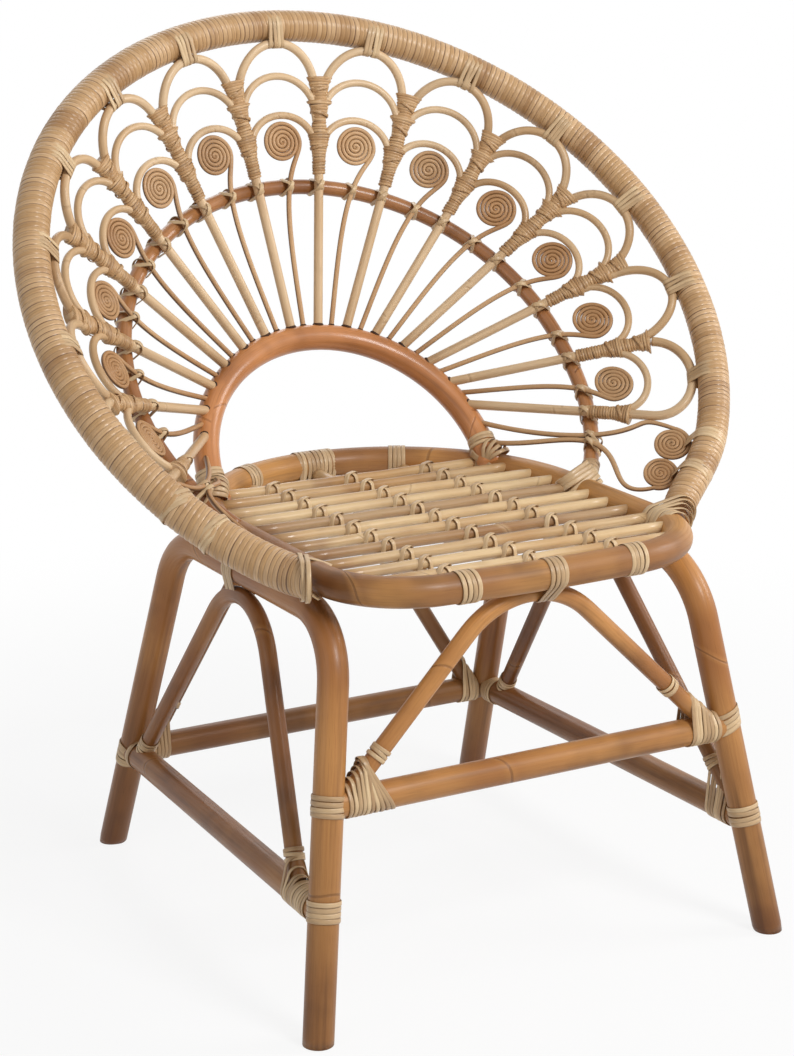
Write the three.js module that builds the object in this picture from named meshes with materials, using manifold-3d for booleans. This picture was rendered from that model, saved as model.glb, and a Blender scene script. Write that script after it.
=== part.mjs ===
// A rattan peacock chair: two bent leg frames, a bent seat ring with slats, and a round fan back.
// Millimetres, +Z up. The sitter faces -Y, and +X is on the right of someone who faces the chair.
// The origin is on the floor, at the middle of the chair's width and depth.

import * as THREE from 'three';
import { mergeVertices } from 'three/addons/utils/BufferGeometryUtils.js';
import Module from 'manifold-3d';

const wasm = await Module();
wasm.setup();

const degrees = (angle) => THREE.MathUtils.degToRad(angle);

// Fits, shared by the whole chair
const touchGap = 0.3; // air between two pieces that touch
const cutOverrun = 30; // how far a cutter runs on past what it cuts
const facetSize = 0.1; // facets that differ by less than this are merged after a cut

// Base: leg frames, stretchers and braces
const legDiameter = 29;
const legBendRadius = 70;
const frontFootHalf = 252; // from the middle of the chair to the middle of a front foot
const frontFootReach = -161;
const rearFootHalf = 226.5;
const rearFootReach = 370;
const frontKneeHalf = 195; // where the lines of a front leg and of the run over it would meet
const frontKneeReach = -92;
const rearKneeHalf = 198;
const rearKneeReach = 238;
const stretcherDiameter = 27;
const frontStretcherHeight = 209;
const lowStretcherHeight = 115;
const braceDiameter = 17;
// Each brace is bent by hand: how far its feet stand from the legs, where its peak is, and how far
// behind the middle of the seat ring the peak of a front or rear brace bears
const frontBrace = { leftFoot: 13, rightFoot: 17, peak: -18, bend: 90, setback: 12 };
const rearBrace = { leftFoot: 18, rightFoot: 18, peak: 0, bend: 67, setback: 0 };
const leftBrace = { frontFoot: 52, rearFoot: 25, peak: 72, bend: 76 };
const rightBrace = { frontFoot: 4, rearFoot: 37, peak: 98, bend: 60 };
const lashingWall = 2.4; // thickness of the peel bound over a joint
const lashingLength = 38; // along the stretcher, from the skin of the leg
const peakLashingWidth = 22;

// Seat: the bent ring, its slats and the bearers under them
const ringDiameter = 29;
const ringHeight = 400; // the middle of the ring pole above the floor
const ringHalf = 191;
const ringFront = -140;
const ringFrontBow = 4; // how far the front run bows out
const ringCornerRadii = { left: 82, right: 98 }; // the right front corner is bent wider
const ringShoulder = 130; // where the straight sides turn into the round rear
const ringRear = 330;
const slatDiameter = 10.5;
const slatCount = 11;
const slatPitch = 34.6;
const frontSlatReach = -105;
const slatRise = 4; // slats lie this much above the middle of the ring
const slatSeat = 8; // how deep a slat end sits in its hole
const bearerDiameter = 14;
const bearerPitch = 90.5;
const bearerInset = 9; // a bearer ends this far from the middle of the ring pole
const ringWrapWidth = 20;

// Back: hoop, middle ring and inner arch
const hoopRadius = 359.5;
const hoopShift = 1.8; // the middle of the hoop's circle, which is bent a little to the right
const hoopReach = 167.4;
const hoopHeight = 603.6;
const hoopLean = degrees(45.3);
const hoopTurn = degrees(124); // past this turn the hoop leaves its circle
// Where the hoop ends beside the seat ring, and the way in which each end runs out
const hoopEnds = {
  left: { half: 222, reach: -90, rise: 13, inward: 0.35, forward: 0.94, down: 0, lead: 48 },
  right: { half: 221.9, reach: -30, rise: 4, inward: 0.6, forward: 0.6, down: 0.5, lead: 25 },
};
const hoopStartLead = 42; // how straight both ends of the hoop leave its circle
const hoopMitre = { half: 222, reach: -95, turn: degrees(-23) }; // the slanted cut of the left end
const hoopCoreDiameter = 29.4;
const windingDiameter = 32.8;
const hoopSwell = 2; // the hoop grows thicker from its top down to its left end, by this radius
const tieWidth = 18; // the peel that ties an outer bow to the hoop
const tieThickness = 1.1;
const windingGroove = 0.8; // depth of the groove between two bands of the winding
const archRadius = 160;
const archDiameter = 27;
const archLean = degrees(41.4);
const archReach = 236.4;
const archRise = 16; // the middle of the arch's circle above the middle of the seat ring
const middleDiameter = 16;
const middleTurn = degrees(143);
const middleStray = 0.4; // how far the straight facets of the middle ring stray from its curve
const middleShare = 0.49; // where the middle ring crosses, from the arch (0) to the hoop (1)
const middleFlare = { turn: degrees(96), share: 0.06, bend: 1.4 }; // its right foot runs outwards

// Fan: spokes, bound columns, bows and scrolls
const spokesEachSide = 7;
const bayTurn = degrees(18.6); // from one spoke to the next, seen from the middle of the hoop
const archTurnShare = 0.56; // turn along the arch for each unit of turn along the hoop
const spokeDiameter = 9.5;
const holeDepth = 7;
const outerBowDiameter = 9;
const innerBowDiameter = 7.6;
const bowInset = 7.4; // from the middle of a spoke to the middle of a bow's end
const bowStart = degrees(25); // how far up its own circle a bow starts
const bowBearing = 0.5; // how far an outer bow is filed away where it bears on the hoop
const threeBowBays = 4; // bays further from the top than this have two bows
const lastBowEnd = degrees(168); // how far round its own circle the last bow ends
const curlDiameter = 5.5;
const scrollStripDiameter = 4.2;
const scrollSlit = 0.9; // air between two turns of a scroll
const scrollTurns = 3.5;
const scrollDiameter = 46;

// Places along a spoke, from the arch (0) to the hoop (1)
const spokeShares = { end: 0.84, lowEnd: 0.8, bend: 0.775 };
const bowShares = {
  inner: { end: 0.645, peak: 0.715 },
  second: { end: 0.755, peak: 0.84 },
  outer: { end: 0.826 },
  lowInner: { end: 0.68, peak: 0.76 },
  lowOuter: { end: 0.79 },
};
const scrollShare = 0.63;
const bowTuckShare = 0.016; // how deep the ends of a bow are tucked into the cups
// A stem runs up the middle of its bay past the middle ring, then swings out to its scroll
const stemSway = { share: 0.55, turn: degrees(-3.5) };
const stemLeadShare = 0.07; // the last of a stem, which runs straight to its scroll
const outerBowLift = 9; // how far the top of an outer bow stands in front of the fan
const bindingStartShare = 0.545;
const rimShare = 0.012; // a binding is narrow again this far past a cup
const lowScrolls = [
  {
    archTurn: degrees(75.6),
    middle: { share: 0.857, turn: degrees(127.2) },
    sway: { share: 0.914, turn: degrees(126.8) },
    lead: { share: 0.615, turn: degrees(119.6) },
    hand: -1,
  },
  {
    archTurn: degrees(84.5),
    middle: { share: 0.846, turn: degrees(135) },
    sway: { share: 0.78, turn: degrees(106.9) },
    lead: { share: 0.559, turn: degrees(150.8) },
    hand: 1,
  },
];
const bindingHalves = { start: 5.6, neck: 6.3, cup: 12, cupDepth: 7.6 };

// Facets
const poleSides = 10;
const archSides = 8;
const wrapSides = 8;
const braceSides = 8;
const hoopSides = 10;
const spokeSides = 6;
const bowSides = 4;
const curlSides = 4;
const bendSteps = 6;
const frontRunSteps = 4;
const rearRunSteps = 20;
const hoopArcSteps = 26;
const hoopTailSteps = 3;
const bandsPerStep = 2;
const archSteps = 16;
const middleSteps = 26;
const bowSteps = 6;
const stemSteps = 6;
const stepsPerCurl = 8;

const legR = legDiameter / 2;
const stretcherR = stretcherDiameter / 2;
const braceR = braceDiameter / 2;
const ringR = ringDiameter / 2;
const slatR = slatDiameter / 2;
const bearerR = bearerDiameter / 2;
const coreR = hoopCoreDiameter / 2;
const windingR = windingDiameter / 2;
const archR = archDiameter / 2;
const middleR = middleDiameter / 2;
const spokeR = spokeDiameter / 2;
const outerBowR = outerBowDiameter / 2;
const innerBowR = innerBowDiameter / 2;
const curlR = curlDiameter / 2;
const stripR = scrollStripDiameter / 2;

const point = (x, y, z) => new THREE.Vector3(x, y, z);
const up = point(0, 0, 1);
const across = point(1, 0, 0);
const along = point(0, 1, 0);
const between = (start, end, share) => start.clone().lerp(end, share);
const spread = (count) => Array.from({ length: count + 1 }, (_, index) => index / count);

// Finishes, one for each kind of piece
const finishes = {
  frame: { color: 0xb9794a, roughness: 0.34 },
  seat: { color: 0xc08a58, roughness: 0.36 },
  slat: { color: 0xd3ad7e, roughness: 0.42 },
  arch: { color: 0xb5693a, roughness: 0.33 },
  core: { color: 0xb98556, roughness: 0.45 },
  peel: { color: 0xc8a579, roughness: 0.38 },
  fan: { color: 0xcfa77a, roughness: 0.42 },
};

const chair = new THREE.Group();

function addPiece(name, solid, finish) {
  const material = new THREE.MeshStandardMaterial({ ...finishes[finish], metalness: 0 });
  const mesh = new THREE.Mesh(toGeometry(largestBody(solid.simplify(facetSize))), material);
  mesh.name = name;
  chair.add(mesh);
}

// Closed geometry to a solid and back, for joins and cuts

function toSolid(geometry) {
  const bare = geometry.clone();
  bare.deleteAttribute('normal');
  bare.deleteAttribute('uv');
  const merged = mergeVertices(bare);
  return new wasm.Manifold(new wasm.Mesh({
    numProp: 3,
    vertProperties: new Float32Array(merged.attributes.position.array),
    triVerts: new Uint32Array(merged.index.array),
  }));
}

function toGeometry(solid) {
  const mesh = solid.getMesh();
  const geometry = new THREE.BufferGeometry();
  geometry.setAttribute('position', new THREE.BufferAttribute(mesh.vertProperties, 3));
  geometry.setIndex(new THREE.BufferAttribute(mesh.triVerts, 1));
  geometry.computeVertexNormals();
  return geometry;
}

const joined = (solids) => solids.reduce((all, solid) => all.add(solid));
const cutBy = (solid, cutters) => cutters.reduce((left, cutter) => left.subtract(cutter), solid);

// A cope can leave loose chips beside the piece itself: they fall away, as on the bench
function largestBody(solid) {
  const bodies = solid.decompose();
  return bodies.reduce((best, body) => (body.volume() > best.volume() ? body : best));
}

// A line of stations: each one is a section of a pole, square to the way the pole runs.
// side is the way that one corner of every section faces, or a list with one way for each station.
class PoleLine extends THREE.Curve {
  constructor(stations, side) {
    super();
    this.stations = stations;
    this.sides = Array.isArray(side) ? side : stations.map(() => side);
  }

  getPoint(t) {
    return this.stations[Math.round(t * (this.stations.length - 1))].clone();
  }

  getPointAt(t) {
    return this.getPoint(t);
  }

  frameAt(index) {
    const here = this.stations[index];
    const before = this.stations[Math.max(index - 1, 0)];
    const after = this.stations[Math.min(index + 1, this.stations.length - 1)];
    const arriving = here.clone().sub(before).normalize();
    const leaving = after.clone().sub(here).normalize();
    const tangent = arriving.add(leaving).normalize();
    const side = this.sides[index];
    const normal = side.clone().addScaledVector(tangent, -side.dot(tangent)).normalize();
    return { tangent, normal, binormal: tangent.clone().cross(normal) };
  }

  computeFrenetFrames() {
    const frames = this.stations.map((_, index) => this.frameAt(index));
    return {
      tangents: frames.map((frame) => frame.tangent),
      normals: frames.map((frame) => frame.normal),
      binormals: frames.map((frame) => frame.binormal),
    };
  }
}

function roundShape(radius, corners) {
  return new THREE.Shape(Array.from({ length: corners }, (_, index) => {
    const angle = (index / corners) * Math.PI * 2;
    return new THREE.Vector2(radius * Math.cos(angle), radius * Math.sin(angle));
  }));
}

// A pole of one thickness along stations
function pole(stations, radius, corners, side) {
  return toSolid(new THREE.ExtrudeGeometry(roundShape(radius, corners), {
    steps: stations.length - 1,
    bevelEnabled: false,
    extrudePath: new PoleLine(stations, side),
  }));
}

// A skin over rings of points, capped at both ends
function loft(rings) {
  const count = rings[0].length;
  const faces = [];
  for (let row = 0; row < rings.length - 1; row += 1) {
    const here = row * count;
    const next = here + count;
    for (let index = 0; index < count; index += 1) {
      const following = (index + 1) % count;
      faces.push(here + index, here + following, next + following);
      faces.push(here + index, next + following, next + index);
    }
  }
  const end = (rings.length - 1) * count;
  for (let index = 1; index < count - 1; index += 1) {
    faces.push(0, index + 1, index);
    faces.push(end, end + index, end + index + 1);
  }
  const geometry = new THREE.BufferGeometry();
  const positions = rings.flat().flatMap((corner) => corner.toArray());
  geometry.setAttribute('position', new THREE.Float32BufferAttribute(positions, 3));
  geometry.setIndex(faces);
  return toSolid(geometry);
}

// An oval of points round a middle
function oval(middle, frame, width, depth, corners) {
  return Array.from({ length: corners }, (_, index) => {
    const angle = (index / corners) * Math.PI * 2;
    return middle.clone()
      .addScaledVector(frame.normal, width * Math.cos(angle))
      .addScaledVector(frame.binormal, depth * Math.sin(angle));
  });
}

// A block of peel round two poles: the upper one runs from start to end, the other beside it, drop away
function doubleWrap(start, end, drop, upperRadius, lowerRadius) {
  const way = end.clone().sub(start).normalize();
  const rise = drop.clone().negate().normalize();
  const aside = rise.clone().cross(way).normalize();
  const round = (middle, radius, angle) => middle.clone()
    .addScaledVector(aside, radius * Math.cos(angle))
    .addScaledVector(rise, radius * Math.sin(angle));
  const rings = [start, end].map((upper) => {
    const lower = upper.clone().add(drop);
    return [
      ...spread(wrapSides / 2).map((share) => round(upper, upperRadius, Math.PI * share)),
      ...spread(wrapSides / 2).map((share) => round(lower, lowerRadius, Math.PI * (1 + share))),
    ];
  });
  return loft(rings);
}

// Stations along a bent pole: straight from corner to corner, each inner corner rounded
function bentStations(corners, radius, steps) {
  const stations = [corners[0].clone()];
  for (let index = 1; index < corners.length - 1; index += 1) {
    const corner = corners[index];
    const back = corners[index - 1].clone().sub(corner).normalize();
    const ahead = corners[index + 1].clone().sub(corner).normalize();
    const half = back.angleTo(ahead) / 2;
    const inward = back.clone().add(ahead).normalize();
    const middle = corner.clone().addScaledVector(inward, radius / Math.sin(half));
    const arm = corner.clone().addScaledVector(back, radius / Math.tan(half)).sub(middle);
    const axis = ahead.clone().cross(back).normalize();
    const sweep = Math.PI - half * 2;
    for (const share of spread(steps)) {
      stations.push(arm.clone().applyAxisAngle(axis, sweep * share).add(middle));
    }
  }
  stations.push(corners[corners.length - 1].clone());
  return stations;
}

// Seat ring, seen from above: straight sides, rounded front corners and a half-oval rear

const nameOfSide = (x) => (x < 0 ? 'left' : 'right');
const ringCornerHalf = (x) => ringHalf - ringCornerRadii[nameOfSide(x)];

function ringFrontAt(x) {
  const share = x / ringCornerHalf(x);
  return ringFront - ringFrontBow * (1 - share * share);
}

function ringRearAt(x) {
  const share = x / ringHalf;
  return ringShoulder + (ringRear - ringShoulder) * Math.sqrt(1 - share * share);
}

function ringHalfAt(reach, side) {
  if (reach > ringShoulder) {
    const share = (reach - ringShoulder) / (ringRear - ringShoulder);
    return ringHalf * Math.sqrt(1 - share * share);
  }
  const radius = ringCornerRadii[nameOfSide(side)];
  const inset = Math.max(ringFront + radius - reach, 0);
  return ringHalf - radius + Math.sqrt(radius * radius - inset * inset);
}

function ringPlan() {
  const corner = (side, share) => {
    const radius = ringCornerRadii[nameOfSide(side)];
    const angle = (share * Math.PI) / 2;
    const x = side * (ringHalf - radius + radius * Math.cos(angle));
    return point(x, ringFront + radius - radius * Math.sin(angle), ringHeight);
  };
  const front = spread(frontRunSteps).slice(1, -1).map((share) => {
    const x = ringCornerHalf(1) * share - ringCornerHalf(-1) * (1 - share);
    return point(x, ringFrontAt(x), ringHeight);
  });
  const rear = spread(rearRunSteps).map((share) => {
    const angle = share * Math.PI;
    const y = ringShoulder + (ringRear - ringShoulder) * Math.sin(angle);
    return point(ringHalf * Math.cos(angle), y, ringHeight);
  });
  return [
    ...spread(bendSteps).map((share) => corner(-1, share)),
    ...front,
    ...spread(bendSteps).map((share) => corner(1, 1 - share)),
    ...rear,
  ];
}

class RingLoop extends THREE.Curve {
  constructor(stations) {
    super();
    this.stations = stations;
  }

  indexAt(t) {
    return Math.round(t * this.stations.length) % this.stations.length;
  }

  getPointAt(t) {
    return this.stations[this.indexAt(t)].clone();
  }

  getTangentAt(t) {
    const count = this.stations.length;
    const here = this.stations[this.indexAt(t)];
    const before = this.stations[(this.indexAt(t) + count - 1) % count];
    const after = this.stations[(this.indexAt(t) + 1) % count];
    const arriving = here.clone().sub(before).normalize();
    return arriving.add(after.clone().sub(here).normalize()).normalize();
  }
}

function ringForm(radius) {
  const plan = ringPlan();
  return toSolid(new THREE.TubeGeometry(new RingLoop(plan), plan.length, radius, poleSides, true));
}

const ringClear = ringForm(ringR + touchGap);

// Slats: round sticks across the seat, both ends in blind holes of the ring

const slatHeight = ringHeight + slatRise;
const slatReaches = spread(slatCount - 1).map((share) => (
  frontSlatReach + slatPitch * (slatCount - 1) * share
));

function slatForm(reach, grow) {
  const ends = [-1, 1].map((side) => {
    const half = ringHalfAt(reach, side) - ringR + slatSeat + grow;
    return point(side * half, reach, slatHeight);
  });
  return pole(ends, slatR + grow, braceSides, up);
}

const slatCutters = slatReaches.map((reach) => slatForm(reach, touchGap));

addPiece('seat_ring', cutBy(ringForm(ringR), slatCutters), 'seat');
slatReaches.forEach((reach, index) => {
  addPiece(`seat_slat_${index + 1}`, slatForm(reach, 0), 'slat');
});

// Leg frames: one pole each, from the rear foot up, forward under the seat ring and down again

const runHeight = ringHeight - ringR - legR - touchGap;
const sides = { left: -1, right: 1 };

function legCorners(side) {
  return {
    rearFoot: point(side * rearFootHalf, rearFootReach, 0),
    rearKnee: point(side * rearKneeHalf, rearKneeReach, runHeight),
    frontKnee: point(side * frontKneeHalf, frontKneeReach, runHeight),
    frontFoot: point(side * frontFootHalf, frontFootReach, 0),
  };
}

function floorBlock() {
  const width = frontFootHalf * 4;
  const depth = (rearFootReach - frontFootReach) * 2;
  const block = new THREE.BoxGeometry(width, depth, cutOverrun * 2);
  block.translate(0, 0, -cutOverrun);
  return toSolid(block);
}

function legForm(side, radius) {
  const { rearFoot, rearKnee, frontKnee, frontFoot } = legCorners(side);
  const below = (knee, foot) => between(knee, foot, 1 + cutOverrun / knee.distanceTo(foot));
  const corners = [below(rearKnee, rearFoot), rearKnee, frontKnee, below(frontKnee, frontFoot)];
  return pole(bentStations(corners, legBendRadius, bendSteps), radius, poleSides, across);
}

function legPoint(side, end, height) {
  const corners = legCorners(side);
  const foot = end === 'front' ? corners.frontFoot : corners.rearFoot;
  const knee = end === 'front' ? corners.frontKnee : corners.rearKnee;
  return between(foot, knee, height / runHeight);
}

// A place on the run of a leg frame under the seat ring
function runPoint(side, reach) {
  const { frontKnee, rearKnee } = legCorners(side);
  return between(frontKnee, rearKnee, (reach - frontKneeReach) / (rearKneeReach - frontKneeReach));
}

const floor = floorBlock();
for (const [name, side] of Object.entries(sides)) {
  addPiece(`leg_frame_${name}`, legForm(side, legR).subtract(floor), 'frame');
}
const legsClear = joined(Object.values(sides).map((side) => legForm(side, legR + touchGap)));

// Braces: bent poles that stand on a stretcher and bear against the seat above

// Raises or lowers the unbent corner until the top of the bend is at the peak's height
function braceStations(startFoot, peak, endFoot, bend) {
  const rounds = 12;
  const corner = peak.clone();
  for (let round = 0; round < rounds; round += 1) {
    const line = bentStations([startFoot, corner, endFoot], bend, bendSteps);
    corner.z += peak.z - Math.max(...line.map((station) => station.z));
  }
  return bentStations([startFoot, corner, endFoot], bend, bendSteps);
}

// From the middle of the seat ring down to the peak of a front or rear brace that bears on it
function peakDrop(shape) {
  const apart = ringR + braceR + touchGap;
  return point(0, shape.setback, -Math.sqrt(apart * apart - shape.setback * shape.setback));
}

function crossBraceStations(end, shape, level, reach) {
  const left = legPoint(-1, end, level);
  const right = legPoint(1, end, level);
  left.x += shape.leftFoot;
  right.x -= shape.rightFoot;
  const peak = point(shape.peak, reach, ringHeight).add(peakDrop(shape));
  return braceStations(left, peak, right, shape.bend);
}

function sideBraceStations(side, shape) {
  const front = legPoint(side, 'front', lowStretcherHeight);
  const rear = legPoint(side, 'rear', lowStretcherHeight);
  const length = front.distanceTo(rear);
  const peak = runPoint(side, shape.peak);
  peak.z -= legR + braceR + touchGap;
  const rearFoot = between(rear, front, shape.rearFoot / length);
  const frontFoot = between(front, rear, shape.frontFoot / length);
  return braceStations(rearFoot, peak, frontFoot, shape.bend);
}

const braceLines = {
  front: crossBraceStations('front', frontBrace, frontStretcherHeight, ringFrontAt(frontBrace.peak)),
  rear: crossBraceStations('rear', rearBrace, lowStretcherHeight, ringRearAt(rearBrace.peak)),
  left: sideBraceStations(sides.left, leftBrace),
  right: sideBraceStations(sides.right, rightBrace),
};
const braceSide = { front: along, rear: along, left: across, right: across };

function braceForm(name, radius) {
  return pole(braceLines[name], radius, braceSides, braceSide[name]);
}

// The lashing that holds the peak of a side brace up against the run of the leg frame
function peakLashing(side, shape) {
  return doubleWrap(
    runPoint(side, shape.peak - peakLashingWidth / 2),
    runPoint(side, shape.peak + peakLashingWidth / 2),
    point(0, 0, -(legR + braceR + touchGap)),
    legR + touchGap + lashingWall,
    braceR + lashingWall,
  );
}

// Stretchers: straight poles coped to the legs, each end lashed to its leg and to a brace's foot

const stretchers = {
  front: {
    ends: [legPoint(-1, 'front', frontStretcherHeight), legPoint(1, 'front', frontStretcherHeight)],
    feet: [frontBrace.leftFoot, frontBrace.rightFoot],
  },
  rear: {
    ends: [legPoint(-1, 'rear', lowStretcherHeight), legPoint(1, 'rear', lowStretcherHeight)],
    feet: [rearBrace.leftFoot, rearBrace.rightFoot],
  },
  left: {
    ends: [legPoint(-1, 'front', lowStretcherHeight), legPoint(-1, 'rear', lowStretcherHeight)],
    feet: [leftBrace.frontFoot, leftBrace.rearFoot],
  },
  right: {
    ends: [legPoint(1, 'front', lowStretcherHeight), legPoint(1, 'rear', lowStretcherHeight)],
    feet: [rightBrace.frontFoot, rightBrace.rearFoot],
  },
};

function stretcherStick(name, grow) {
  return pole(stretchers[name].ends, stretcherR + grow, poleSides, up);
}

// The peel bound over the stretcher's ends and the feet of its brace
function stretcherLashings(name, grow) {
  const { ends, feet } = stretchers[name];
  const rise = stretcherR + braceR;
  const wraps = ends.map((end, index) => {
    const way = ends[1 - index].clone().sub(end).normalize();
    const length = Math.max(legR + lashingLength, feet[index] + braceDiameter) + grow;
    const upper = end.clone().addScaledVector(up, rise);
    return doubleWrap(
      upper.clone().addScaledVector(way, legR - touchGap),
      upper.clone().addScaledVector(way, length),
      point(0, 0, -rise),
      braceR + lashingWall + grow,
      stretcherR + lashingWall + grow,
    );
  });
  return joined(wraps);
}

const braceNames = Object.keys(braceLines);
const braceClears = braceNames.map((name) => braceForm(name, braceR + touchGap));
const stretcherClears = Object.fromEntries(Object.keys(stretchers).map((name) => (
  [name, joined([stretcherStick(name, touchGap), stretcherLashings(name, touchGap)])]
)));
// The side stretchers are bound to the rear legs first, and the rear one is coped round them
const copedTo = { front: [], left: [], right: [], rear: ['left', 'right'] };

for (const name of Object.keys(stretchers)) {
  const lashings = cutBy(stretcherLashings(name, 0), braceClears);
  const whole = stretcherStick(name, 0).add(lashings);
  const others = copedTo[name].map((other) => stretcherClears[other]);
  addPiece(`stretcher_${name}`, cutBy(whole, [legsClear, ...others]), 'frame');
}

const stickClears = Object.keys(stretchers).map((name) => stretcherStick(name, touchGap));
const peakShapes = { left: leftBrace, right: rightBrace };
for (const name of braceNames) {
  const form = braceForm(name, braceR);
  const whole = peakShapes[name] ? form.add(peakLashing(sides[name], peakShapes[name])) : form;
  addPiece(`brace_${name}`, cutBy(whole, [legsClear, ringClear, ...stickClears]), 'frame');
}

// Bearers: three poles under the slats, coped to the ring and bound to it front and rear

const bearerHeight = slatHeight - slatR - bearerR - touchGap;
const bearers = { left: -bearerPitch, middle: 0, right: bearerPitch };

// A wrap round the seat ring, or round the ring and the peak of the brace under it
function ringWrap(x, reach, slope, brace) {
  const half = point(1, slope, 0).normalize().multiplyScalar(ringWrapWidth / 2);
  const middle = point(x, reach, ringHeight);
  const start = middle.clone().sub(half);
  const end = middle.clone().add(half);
  const outside = ringR + touchGap + lashingWall;
  if (!brace) {
    return pole([start, end], outside, wrapSides, up);
  }
  return doubleWrap(start, end, peakDrop(brace), outside, braceR + touchGap + lashingWall);
}

for (const [name, x] of Object.entries(bearers)) {
  const front = ringFrontAt(x);
  const rear = ringRearAt(x);
  const slope = (ringRearAt(x + touchGap) - ringRearAt(x - touchGap)) / (touchGap * 2);
  const ends = [front + bearerInset, rear - bearerInset].map((y) => point(x, y, bearerHeight));
  const braces = x === 0 ? [frontBrace, rearBrace] : [];
  const wraps = [ringWrap(x, front, 0, braces[0]), ringWrap(x, rear, slope, braces[1])];
  const whole = joined([pole(ends, bearerR, braceSides, up), ...wraps]);
  addPiece(`seat_bearer_${name}`, cutBy(whole, [ringClear, ...braceClears]), 'frame');
}

// Back: the circles of the hoop and of the inner arch, and the fan of straight lines between them

function archPoint(turn) {
  const rise = archRadius * Math.cos(turn);
  return point(
    archRadius * Math.sin(turn),
    archReach + rise * Math.sin(archLean),
    ringHeight + archRise + rise * Math.cos(archLean),
  );
}

function hoopPoint(turn) {
  const rise = hoopRadius * Math.cos(turn);
  return point(
    hoopShift + hoopRadius * Math.sin(turn),
    hoopReach + rise * Math.sin(hoopLean),
    hoopHeight + rise * Math.cos(hoopLean),
  );
}

function fanPoint(share, turn) {
  return between(archPoint(turn * archTurnShare), hoopPoint(turn), share);
}

function fanLength(turn) {
  return archPoint(turn * archTurnShare).distanceTo(hoopPoint(turn));
}

const nudge = degrees(0.5); // a small turn, to find which way a curve runs

// The way that the front of the fan faces
function fanFront(share, turn) {
  const round = fanPoint(share, turn + nudge).sub(fanPoint(share, turn - nudge));
  const outward = hoopPoint(turn).sub(archPoint(turn * archTurnShare));
  return round.cross(outward).normalize();
}

// The turn that moves one millimetre round the fan
function turnPerLength(share, turn) {
  const width = fanPoint(share, turn + nudge).distanceTo(fanPoint(share, turn - nudge));
  return (nudge * 2) / width;
}

// Places on the fan, set back from its face by depth
function fanStations(places, depth) {
  return places.map(({ share, turn }) => (
    fanPoint(share, turn).addScaledVector(fanFront(share, turn), -depth)
  ));
}

const fanSides = (places) => places.map(({ share, turn }) => fanFront(share, turn));

function fanPole(places, depth, radius, corners) {
  return pole(fanStations(places, depth), radius, corners, fanSides(places));
}

// Hoop: the circle, then on both sides a tail that comes in to lie beside the seat ring

function hoopTail(name) {
  const side = sides[name];
  const { half, reach, rise, inward, forward, down, lead } = hoopEnds[name];
  const start = hoopPoint(side * hoopTurn);
  const leaving = start.clone().sub(hoopPoint(side * (hoopTurn - nudge))).normalize();
  const end = point(side * half, reach, ringHeight + rise);
  const startLead = start.clone().addScaledVector(leaving, hoopStartLead);
  const endLead = point(side * inward, forward, down).normalize().multiplyScalar(lead).add(end);
  const curve = new THREE.CubicBezierCurve3(start, startLead, endLead, end);
  return spread(hoopTailSteps).slice(1).map((share) => curve.getPoint(share));
}

// How much thicker the hoop is at a turn than at its top
const growthAt = (turn) => (hoopSwell * Math.max(-turn, 0)) / hoopTurn;

const hoopStations = [
  ...hoopTail('left').reverse().map((place) => ({ place, growth: hoopSwell })),
  ...spread(hoopArcSteps).map((share) => hoopTurn * (share * 2 - 1)).map((turn) => (
    { place: hoopPoint(turn), growth: growthAt(turn) }
  )),
  ...hoopTail('right').map((place) => ({ place, growth: 0 })),
];
const hoopFront = along.clone().negate().applyAxisAngle(across, -hoopLean);

// The corners of the hoop's section are set out so far that its flats lie as deep as they stand out
const hoopFacetGrowth = 2 / (1 + Math.cos(Math.PI / hoopSides));

// Rings of points along some stations of the hoop, which can run on past both of their ends
function ringsRound(stations, radius, overrun) {
  const [first, second] = stations;
  const [last, lastButOne] = [...stations].reverse();
  const runOn = (from, end) => ({
    place: between(from.place, end.place, 1 + overrun / from.place.distanceTo(end.place)),
    growth: end.growth,
  });
  const all = overrun > 0
    ? [runOn(second, first), ...stations, runOn(lastButOne, last)]
    : stations;
  const pathLine = new PoleLine(all.map(({ place }) => place), hoopFront);
  return all.map(({ place, growth }, index) => {
    const half = (radius + growth) * hoopFacetGrowth;
    return oval(place, pathLine.frameAt(index), half, half, hoopSides);
  });
}

const hoopRings = (radius, overrun) => ringsRound(hoopStations, radius, overrun);

// The left end is cut off on a slant, so that it closes against the seat ring's corner
function mitreBlock() {
  const size = windingDiameter * 4;
  const block = new THREE.BoxGeometry(size, size * 2, size);
  block.translate(size / 2, 0, 0);
  block.rotateZ(hoopMitre.turn);
  block.translate(-hoopMitre.half, hoopMitre.reach, ringHeight);
  return toSolid(block);
}

// The peel that ties an outer bow to the hoop, where it goes round the hoop
function hoopTie(turn, grow) {
  const half = (tieWidth / 2 + grow) / hoopRadius;
  const stations = [turn - half, turn + half].map((place) => (
    { place: hoopPoint(place), growth: growthAt(place) }
  ));
  return loft(ringsRound(stations, windingR + tieThickness + grow, 0));
}

const bayTurns = spread((spokesEachSide - 1) * 2).map((share) => (
  bayTurn * (spokesEachSide - 1) * (share * 2 - 1)
));

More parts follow.
